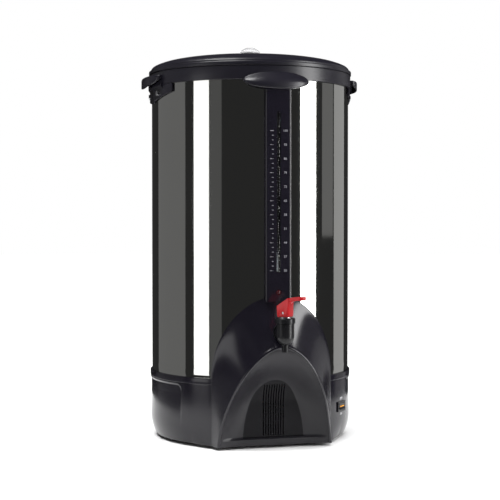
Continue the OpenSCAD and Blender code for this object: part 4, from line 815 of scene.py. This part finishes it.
def hood_section(u):
    """The hood's section at a share u of its half width, as (radius, height) points."""
    rise = HOOD_RISE * math.sqrt(max(0.0, 1 - u * u))
    swell = (HOOD_R - COLLAR_R) * (1 - abs(u) ** 2.6) ** 0.5
    top, low = HOOD_Z + rise, HOOD_Z - rise
    height = top - low
    face = [(COLLAR_R - 0.8 + (swell + 0.8) * math.sin(math.radians(90 * t)) ** 1.15, top - height * 0.80 * t)
            for t in np.linspace(0, 1, 14)]
    lip = [(COLLAR_R + swell * k, low + height * h) for k, h in LIP_CURL]
    rear, back = SHELL_IN + 0.1, max(collar_low + 1, low + 0.001)
    return face + lip + [(rear, low), (rear, min(back, top)), (COLLAR_R - 1.5, min(back + 0.5, top))]


def on_body(r, x, z):
    """A point at a radius, given its width from the middle of the front."""
    a = x / COLLAR_R
    return r * math.sin(a), -r * math.cos(a), z


sweep = math.pi / 2 * 0.985
shares = np.sin(np.linspace(-sweep, sweep, 61))
hood = lofted([[on_body(r, u * HOOD_HALF, z) for r, z in hood_section(u)] for u in shares])
collar_shape = rounded([(SHELL_IN, collar_low), (COLLAR_R, collar_low), (COLLAR_R, collar_top),
                        (COLLAR_BORE, collar_top), (COLLAR_BORE, rim_z + FIT), (SHELL_IN, rim_z + FIT)],
                       [0.2, 0.9, 0.9, 0.6, 0.3, 0], 4)
collar_parts = together(turned(collar_shape), hood)
fresh(add_piece("collar_ring", *collar_parts, "urn", "gloss_black", lid_black, 40), "collar")

# %% [markdown]
# ## Handles
# Each handle is a bracket screwed under the collar, with a ledge that curls down at its edge, so that the
# fingertips hook under it. The ledge runs out to nothing at both ends in a round sweep, and the bracket's
# lower edge slopes up to its ends. Both are lofted round the body.

# %% Loft the handles
WING_HALF, GRIP_HALF, GRIP_R, GRIP_H, GRIP_T, WING_T = 27.3, 18.0, 152.0, 14.0, 2.6, 2.4
GRIP_IN, GRIP_WALL, GRIP_TOP, WING_TOP = COLLAR_R + 0.3, 1.5, collar_low + 12.5, collar_low - 0.3
WING_LEVEL, WING_SLOPE = 10, 11 / 53


def at_turn(r, turn, z):
    """A point at a radius and an angle from the front."""
    a = math.radians(turn)
    return r * math.sin(a), -r * math.cos(a), z


def grip_section(share):
    """The ledge's section. Its reach and drop shrink with a share, 1 in the middle and 0 at the ends."""
    root, rear, under = GRIP_IN + GRIP_WALL, SHELL_IN + WING_T - 0.5, GRIP_TOP - GRIP_T
    reach = root + 1.2 + (GRIP_R - root - 1.2) * share
    drop = GRIP_T + 0.4 + (GRIP_H - GRIP_T - 0.4) * share
    inner = max(root + 0.3, reach - GRIP_T)
    return rounded([(rear, WING_TOP - 6), (root, WING_TOP - 1.5), (root, under), (inner, under),
                    (inner, GRIP_TOP - drop), (reach, GRIP_TOP - drop), (reach, GRIP_TOP),
                    (GRIP_IN, GRIP_TOP), (GRIP_IN, WING_TOP), (rear, WING_TOP)],
                   [0, 0.5, 1.2, 1.4, 0.9, 1.2, 3.4, 0.3, 0, 0], 5)


def wing_section(turn):
    """The bracket's section. Its lower edge is level near the middle and slopes up to the ends."""
    away = abs(SHELL_IN * math.sin(math.radians(turn)))
    low = collar_low - WING_DROP + max(0, away - WING_LEVEL) * WING_SLOPE
    return rounded(oblong(SHELL_IN, low, SHELL_IN + WING_T, WING_TOP), [0, 0.8, 0.4, 0], 3)


def handle(side):
    """The ledge and the bracket of the handle on one side, -1 for the left and 1 for the right."""
    middle, grip = side * 90, []
    for turn in (GRIP_HALF * math.sin(math.radians(a)) for a in np.linspace(-90, 90, 41)):
        share = math.sqrt(max(0, 1 - abs(turn / GRIP_HALF) ** 3))
        grip.append([at_turn(r, middle + turn, z) for r, z in grip_section(share)])
    wing = [[at_turn(r, middle + turn, z) for r, z in wing_section(turn)]
            for turn in np.linspace(-WING_HALF, WING_HALF, 57)]
    return together(lofted(grip), lofted(wing))


for side, node in ((-1, "handle_left"), (1, "handle_right")):
    fresh(add_piece(node + "_grip", *handle(side), "urn", "gloss_black", lid_black, 40), node)

# %% [markdown]
# ## Lever
# The red lever is a block with a sloping top that runs out into a thin blade. It is cut from two prisms, its
# side outline and its plan outline, which leave exactly what both hold. The stem's slot and the pin's hole
# are cut next, and a small bevel then rounds every edge, which draws the bright lines along them.

# %% Helpers for prisms
def prism(name, outline, axis, low, high):
    """A closed prism of an outline between two levels along an axis, in millimetres."""
    rings = [[{0: (level, a, b), 1: (a, level, b), 2: (a, b, level)}[axis] for a, b in outline]
             for level in (low, high)]
    return in_scene(name, cleaned(mesh_of(name, *lofted(rings))))


def eased(piece, width, segments, limit):
    """Bevel every edge sharper than an angle."""
    step = piece.modifiers.new("edge", "BEVEL")
    step.width, step.segments = width * MM, segments
    step.limit_method, step.angle_limit = "ANGLE", math.radians(limit)
    baked(piece)


def swung(piece, turn, x=0, y=0, z=0):
    """The piece's mesh turned about Z by an angle and then moved."""
    c, s = math.cos(math.radians(turn)), math.sin(math.radians(turn))
    for vertex in piece.data.vertices:
        a, b, level = vertex.co
        vertex.co = a * c - b * s + x * MM, a * s + b * c + y * MM, level + z * MM
    return piece

# %% Cut the lever
LEVER_TURN, HUB_W, HUB_L, REACH, BLADE_W, BLADE_T, LEVER_H = 46.0, 14.4, 15.3, 29.0, 12.0, 5.0, 26.5
PIN_H, PIN_R, STEM_R, TILT = 5.4, 1.5, 2.8, math.radians(30)
SLOT_GAP = 0.3      # the slot's clearance round the stem, at rest and tipped
lever_seat = span("bonnet", 2)[1] + 1.05
half_l, top, tip, half_hub, half_blade = HUB_L / 2, LEVER_H, BLADE_T / 2, HUB_W / 2, BLADE_W / 2
shoulder, blade_root, nose = (-half_l - 0.6, top - 8.4), 9 - REACH, tip - REACH
side_shape = ([(half_l, 0.8), (half_l - 0.6, 0.2), (0.6 - half_l, 0.2), (-half_l, 0.8), shoulder] +
              curve_through([shoulder, (-half_l - 4, top - 6.6), (blade_root, top - BLADE_T - 0.1),
                             (nose, top - BLADE_T)], 3)[1:] +
              arc(nose, top - tip, tip, 270, 90)[1:-1] +
              curve_through([(nose, top), (blade_root, top - 0.3), (-half_l - 2, top - 1.6),
                             (1 - half_l, top - 2.4)], 3) +
              [(half_l + 1, top - 12.4)])
plan_shape = ([(half_hub, half_l + 4), (-half_hub, half_l + 4), (-half_hub, -half_l - 0.2),
               (-half_blade, -half_l - 1.2)] +
              arc(0, half_blade - REACH, half_blade, 180, 360, 20) +
              [(half_blade, -half_l - 1.2), (half_hub, -half_l - 0.2)])
lever = prism("lever_red", side_shape, 0, -half_hub, half_hub)
carve(lever, prism("plan", plan_shape, 2, -5, 60), "INTERSECT")
slot_front = (PIN_H - 0.2) * math.tan(TILT) + STEM_R / math.cos(TILT) + SLOT_GAP
slot_back = 3 * math.sin(TILT) + STEM_R * math.cos(TILT) + SLOT_GAP
slot_top = PIN_H + 3 * math.cos(TILT) + STEM_R * math.sin(TILT) + SLOT_GAP
carve(lever, prism("slot", oblong(-slot_front, -1, slot_back, slot_top), 0,
                   -STEM_R - SLOT_GAP, STEM_R + SLOT_GAP))
carve(lever, prism("pin_hole", ring(0, PIN_H, PIN_R + FIT, 24), 0, -20, 20))
eased(lever, 0.55, 3, 38)
swung(lever, LEVER_TURN, y=-tap_v, z=lever_seat)
shade(painted(lever.data, lever_red), 35)
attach(lever, "lever")
fresh(lever, "lever")

# %% [markdown]
# ## Tap body
# The tap's body is a cup with a round bottom, a straight outlet under it, and a branch that runs back to the
# flange. It is turned, joined to the branch, and then bored out: the chamber from above, the outlet from
# below.

# %% Turn and bore the tap body
TAP_R, NECK_R, CHAMBER_R, SPOUT_R, SPOUT_BORE = 11.5, 10.2, 8.4, 4.25, 3.0
BRANCH_R, SPIGOT_R, SPIGOT_L, SHANK_BORE, SHANK_Z = 10.5, 6.05, 3.6, 4.5, 155.6
CUP_UP, SEAT_UP = 9, 15             # the cup's bottom and the valve's seat, above the outlet's mouth
BELOW, INSIDE, ABOVE = 100, 160, 220    # heights at which the round cutters begin and end
spout_low, neck_top = span("faucet_body", 2)
cup_top = span("bonnet", 2)[0] - FIT
branch_back = -span("faucet_body", 1)[1]
edge_turn = math.degrees(math.acos(SPOUT_R / TAP_R))


def revolved(name, outline, segments=72):
    """A closed solid of an outline of radius and height turned round the tap's axis."""
    verts, faces = turned(outline, segments=segments, centre=(0, -tap_v))
    return in_scene(name, cleaned(mesh_of(name, verts, faces), 1e-7, 1e-8))


cup = revolved("tap_cup", [(0, spout_low), (SPOUT_R - 0.3, spout_low), (SPOUT_R, spout_low + 0.3)] +
               arc(0, spout_low + CUP_UP + TAP_R, TAP_R, -edge_turn, 0, 14) +
               [(TAP_R, cup_top - 0.5), (TAP_R - 0.5, cup_top), (NECK_R, cup_top),
                (NECK_R, neck_top), (0, neck_top)])
carve(cup, prism("branch", ring(0, SHANK_Z, BRANCH_R, 60), 1, 6 - tap_v, -branch_back), "UNION")
carve(cup, revolved("chamber", oblong(0, spout_low + SEAT_UP, CHAMBER_R, ABOVE)))
carve(cup, revolved("outlet", oblong(0, BELOW, SPOUT_BORE, INSIDE), 48))
for name, r, front in (("spigot", SPIGOT_R, branch_back + SPIGOT_L), ("shank_bore", SHANK_BORE, tap_v)):
    carve(cup, prism(name, ring(0, SHANK_Z, r, 60), 1, -front, 4 - branch_back))
shade(painted(cup.data, tap_black), 40)
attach(cup, "urn")
fresh(cup, "faucet_body")

# %% [markdown]
# ## Base
# The base is a moulded ring with a raised band along its rim and a flared foot. Its side panels are flats,
# set in a little from the round wall, with rounded corners. The wall is drawn as a grid over angle and
# height, and each point is set in where the panel's outline holds it, over a short soft step.

# %% Mould the base housing
BASE_R, BASE_WALL, FLARE_H, FLARE_INSET = tank_r + 2, 3.0, 34.0, 9.0
BAND_Z, BAND_T, PANEL_DEPTH, PANEL_CORNER = base_h - 8, 0.6, 1.2, 8.0
PANEL_EDGE = 56.0                   # where the side panels begin, in degrees from the front
PANEL_END = 180 - PANEL_EDGE
LEG_TURN = math.degrees(math.asin(COWL_HALF / BASE_R))
SWITCH_TURN, INLET_TURN = 48.0, 180.0


def flare(z):
    """How far the foot is drawn in at a height."""
    return FLARE_INSET * (1 - z / FLARE_H) ** 2 if z < FLARE_H else 0


def panel_share(turn, z):
    """1 inside the side panel, 0 outside it, with a soft step at its top that fades out towards the foot."""
    half = BASE_R * math.radians(90 - PANEL_EDGE)
    across = abs(BASE_R * math.radians(abs(turn) - 90))
    top, low = BAND_Z - 3, FLARE_H * 0.7
    dx = across - (half - PANEL_CORNER)
    dz = max(z - (top - PANEL_CORNER), (low + PANEL_CORNER) - z)
    outside = math.hypot(max(dx, 0), max(dz, 0)) + min(max(dx, dz), 0) - PANEL_CORNER
    return min(1, max(0, 0.5 - outside / 1.1)) * min(1, max(0, (z - low) / (top - low - 12)))


def base_radius(turn, z):
    """The wall's radius: straight beside the legs, flared and set in elsewhere."""
    near_leg = min(1, max(0, (abs(turn) - LEG_TURN - 2) / 12))
    inset = PANEL_DEPTH * panel_share(turn, z) if abs(turn) < PANEL_END else 0
    return BASE_R - flare(z) * near_leg - inset


def base_wall():
    """The housing as sections lofted round the axis from one leg to the other, fine where the panels step."""
    low = base_low
    heights = ([low, low + 0.6] + list(np.arange(low + 2, 18, 2)) + list(np.arange(18, 30, 0.55)) +
               list(np.arange(30, 68, 2.4)) + list(np.arange(68, BAND_Z - 2, 0.55)) +
               [BAND_Z - 1.2, BAND_Z - 0.2])
    turns = set(np.arange(LEG_TURN, 360 - LEG_TURN, 1.0)) | {360 - LEG_TURN}
    for middle in (PANEL_EDGE, 360 - PANEL_EDGE, PANEL_END, 360 - PANEL_END):
        turns |= set(np.arange(middle - 5, middle + 5, 0.25))
    lip = rounded([(BASE_R, BAND_Z), (BASE_R + BAND_T, BAND_Z + 0.6), (BASE_R + BAND_T, base_h),
                   (SHELL_IN, base_h)], [0.1, 0.3, 1.0, 0.3], 4)
    inner = [(SHELL_IN, base_h - 4.05), (SHELL_IN - 7, base_h - 4.05), (SHELL_IN - 7, base_h - 7),
             (BASE_R - BASE_WALL, base_h - 7)]
    outlines = []
    for turn in sorted(turns):
        side = turn if turn <= 180 else turn - 360
        wall = [(base_radius(side, z), z) for z in heights]
        wall[0] = (wall[0][0] - 0.5, wall[0][1])
        back = [(base_radius(side, z) - BASE_WALL, z) for z in (60, 46, FLARE_H, 24, 14, low)]
        outlines.append([at_turn(r, side, z) for r, z in wall + lip + inner + back])
    return lofted(outlines)


base = add_piece("base_shell", *base_wall(), "urn", "gloss_black", gloss_black, 40)

# %% Cut the windows for the switch and the power inlet
for turn, z, width, tall in ((SWITCH_TURN, 46.5, 21.2, 10.6), (INLET_TURN, 46, 28.6, 21.0)):
    hole = prism("window", oblong(-width / 2, z - tall / 2, width / 2, z + tall / 2), 1,
                 -BASE_R - 10, -BASE_R + 14)
    carve(base, swung(hole, turn))
shade(base.data, 40)
fresh(base, "base_housing")

# %% [markdown]
# ## Gauge panel
# The panel is a rounded strip that stands out from the tank, with the window for the glass and a hole for
# the ready lamp. Its rounded edges draw the two fine lines of light that frame the gauge.

# %% Shape the gauge panel
GAUGE_W, EDGE_R, WINDOW_W, LAMP_Z, LAMP_R = 34.0, 2.5, 5.0, 205.5, 3.2
GLASS_V, CHANNEL_R, ELBOW_Z, LAP_TOP = tank_r + 4.6, 4.4, 216.0, 200.3
FRONT_WALL = 0.5                    # what is left of the panel in front of the channel for the glass
gauge_low, gauge_high = span("gauge_panel", 2)
window_low, window_high = 231.0, 439.0
channel_ends = ELBOW_Z - 4.8, window_high + 12.3
front_v = -span("gauge_panel", 1)[0]
half_w, half_window = GAUGE_W / 2, WINDOW_W / 2
outline = ([(x, -math.sqrt(SHELL_IN * SHELL_IN - x * x)) for x in np.linspace(half_w, -half_w, 25)] +
           [(x, -y) for x, y in arc(-half_w + EDGE_R, front_v - EDGE_R, EDGE_R, 180, 90, 8) +
            arc(half_w - EDGE_R, front_v - EDGE_R, EDGE_R, 90, 0, 8)])
panel = prism("gauge_strip", outline, 2, gauge_low, gauge_high)
carve(panel, prism("lap", ring(0, 0, COWL_EDGE_R + 1, 256), 2, gauge_low - 1, LAP_TOP))
front = [(x, max(-GLASS_V + y, FRONT_WALL - front_v)) for x, y in arc(0, 0, CHANNEL_R, 180, 360, 40)]
carve(panel, prism("channel", [(CHANNEL_R, -GLASS_V + 0.1), (-CHANNEL_R, -GLASS_V + 0.1)] + front, 2,
                   *channel_ends))
carve(panel, prism("channel_back", oblong(-CHANNEL_R, -GLASS_V, CHANNEL_R, -GLASS_V + CHANNEL_R), 2,
                   *channel_ends))
window = (arc(0, window_high - half_window, half_window, 0, 180, 12) +
          arc(0, window_low + half_window, half_window, 180, 360, 12))
carve(panel, prism("window", window, 1, -front_v - 1, -front_v + 4))
for name, r, reach in (("lamp_hole", LAMP_R + FIT, front_v + 2), ("lamp_seat", LAMP_R + 0.75, tank_r + 4)):
    carve(panel, prism(name, ring(0, LAMP_Z, r, 40), 1, -reach, 2 - tank_r))
eased(panel, 0.35, 2, 50)
shade(painted(panel.data, gloss_black), 35)
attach(panel, "urn")
fresh(panel, "gauge_panel")

# %% Cut the gauge's fittings flat behind the panel's front wall
face_v = front_v - FRONT_WALL - FIT
for node, name, material, slot in (("gauge_elbow", "elbow_behind_panel", tap_black, "satin_black"),
                                   ("gauge_seal", "seal_behind_panel", soft_rubber, "rubber"),
                                   ("gauge_cap", "cap_behind_panel", soft_rubber, "rubber")):
    piece = in_scene(name, cleaned(frame["nodes"][node].data.copy(), 1e-6, outward=False))
    carve(piece, prism("front", oblong(-20, -face_v - 5, 20, -face_v), 2, 150, 520))
    shade(painted(piece.data, material), 32)
    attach(piece, "urn")
    fresh(piece, node)

# %% [markdown]
# ## Stem spring
# The CAD holds a plain sleeve where the spring is. Here it is a real coil: Geometry Nodes sweeps a wire
# along a spiral.

# %% Wind the spring
spring_low, spring_high = span("stem_spring", 2)
spring_r = (span("stem_spring", 0)[1] - span("stem_spring", 0)[0]) / 2
WIRE_R, COILS, STEM_RISE, SPRING_TOP = 0.45, 6, 3.8, 172.95


def build_coil():
    tree, source, sink = new_tree("GeometryNodeTree", "coil",
                                  {"Turns": "Float", "Radius": "Float", "Height": "Float",
                                   "Wire": "Float", "Material": "Material"}, {"Geometry": "Geometry"})
    spiral = add(tree, "GeometryNodeCurveSpiral", resolution=24)
    wire = add(tree, "GeometryNodeCurvePrimitiveCircle", resolution=10)
    skin = add(tree, "GeometryNodeCurveToMesh", fill_caps=True)
    real, paint = add(tree, "GeometryNodeRealizeInstances"), add(tree, "GeometryNodeSetMaterial")
    connect(tree, (source, "Turns", spiral, "Rotations"), (source, "Radius", spiral, "Start Radius"),
            (source, "Radius", spiral, "End Radius"), (source, "Height", spiral, "Height"),
            (source, "Wire", wire, "Radius"), (spiral, "Curve", skin, "Curve"),
            (wire, "Curve", skin, "Profile Curve"), (skin, "Mesh", real, 0), (real, 0, paint, "Geometry"),
            (source, "Material", paint, "Material"), (paint, 0, sink, 0))
    return tree


coil = made_by(build_coil(), "stem_coil", {
    "Turns": float(COILS), "Radius": (spring_r - WIRE_R) * MM, "Wire": WIRE_R * MM,
    "Height": (spring_high - spring_low - 2 * WIRE_R) * MM, "Material": satin_steel})
swung(coil, 0, y=-tap_v, z=spring_low + WIRE_R)
shade(cleaned(coil.data), 60)
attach(coil, "urn")
fresh(coil, "stem_spring")
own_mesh(coil)

# %% [markdown]
# ## The gauge's scale
# The scale is printed beside the window: a long tick at each number and two short ones between. The ticks
# are rows of thin blocks from the same Geometry Nodes tree as the vents, and the numbers are text made into
# mesh.

# %% Print the scale
SCALE_TOP, SCALE_PITCH, SCALE_FIRST, SCALE_STEP, SCALE_COUNT = 414.2, 18.05, 100, 7, 11
PRINT_T = 0.08
print_v = front_v + PRINT_T / 2 - 0.01      # the print is sunk 0.01 into the panel
long_ticks = row_of("scale_long_ticks", SCALE_COUNT, (-9.2, -print_v, SCALE_TOP), (0, 0, -SCALE_PITCH),
                    (4.6, PRINT_T, 0.6), print_grey)
short_ticks = row_of("scale_short_ticks", (SCALE_COUNT - 1) * 3,
                     (-8.0, -print_v, SCALE_TOP - SCALE_PITCH / 3), (0, 0, -SCALE_PITCH / 3),
                     (2.2, PRINT_T, 0.55), print_grey)
for ticks in (long_ticks, short_ticks):
    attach(ticks, "urn")

# %% Print the numbers and the switch's words
def lettering(name, words, size, ink, at=(0, 0), turn=0.0, radius=0.0):
    """Words as a thin mesh on the flat front, or wrapped round the body when a radius is given."""
    text = bpy.data.curves.new(name, "FONT")
    text.body, text.size, text.extrude = words, size * MM, PRINT_T / 2 * MM
    text.align_x, text.align_y = "CENTER", "CENTER"
    text.resolution_u = 2
    text.offset = 0.02 * MM
    carrier = in_scene(name, text)
    graph = bpy.context.evaluated_depsgraph_get()
    mesh = bpy.data.meshes.new_from_object(carrier.evaluated_get(graph), depsgraph=graph)
    bpy.data.objects.remove(carrier)
    for vertex in mesh.vertices:
        x, y, depth = (c / MM for c in vertex.co)
        if radius:
            a = math.radians(turn) + x / radius
            r = radius + depth
            vertex.co = (r * math.sin(a) * MM, -r * math.cos(a) * MM, (at[1] + y) * MM)
        else:
            vertex.co = ((at[0] + x) * MM, -(print_v + depth) * MM, (at[1] + y) * MM)
    piece = in_scene(name, painted(mesh, ink))
    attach(piece, "urn")
    return piece


for k in range(SCALE_COUNT):
    number = SCALE_FIRST - k * SCALE_STEP
    lettering(f"scale_number_{number}", str(number), 4.2, print_grey, at=(8.9, SCALE_TOP - k * SCALE_PITCH))
for words, size, z in (("OFF", 4.6, 57.2), ("ON", 4.2, 36.2)):
    lettering("label_" + words.lower(), words, size, print_white, at=(0, z), turn=SWITCH_TURN,
              radius=BASE_R + PRINT_T / 2)
print("scale:", SCALE_COUNT, "numbers, labels ON and OFF")

# %% [markdown]
# ## Closing the scene
# The floor is pale and plain. A small patch near the urn is seen in the gloss, and the rest isn't.

# %% Lay the floor
def disc(name, inner, outer, mirrored):
    """A flat ring of the floor, which reflections show or don't."""
    verts, faces = turned(oblong(inner, 0, outer, -4), segments=96)
    ground = in_scene(name, painted(mesh_of(name, verts, faces), paper))
    ground.visible_glossy = mirrored


paper = finish("paper", [(0.97, 0.97, 0.97), (0.95, 0.95, 0.95)], (0.8, 0.9), 2, peeled(300, 0.05, 0.0001))
disc("floor_near", 0.001, 480, True)
disc("floor_far", 480, 9000, False)
bpy.context.scene.view_settings.view_transform = "Standard"
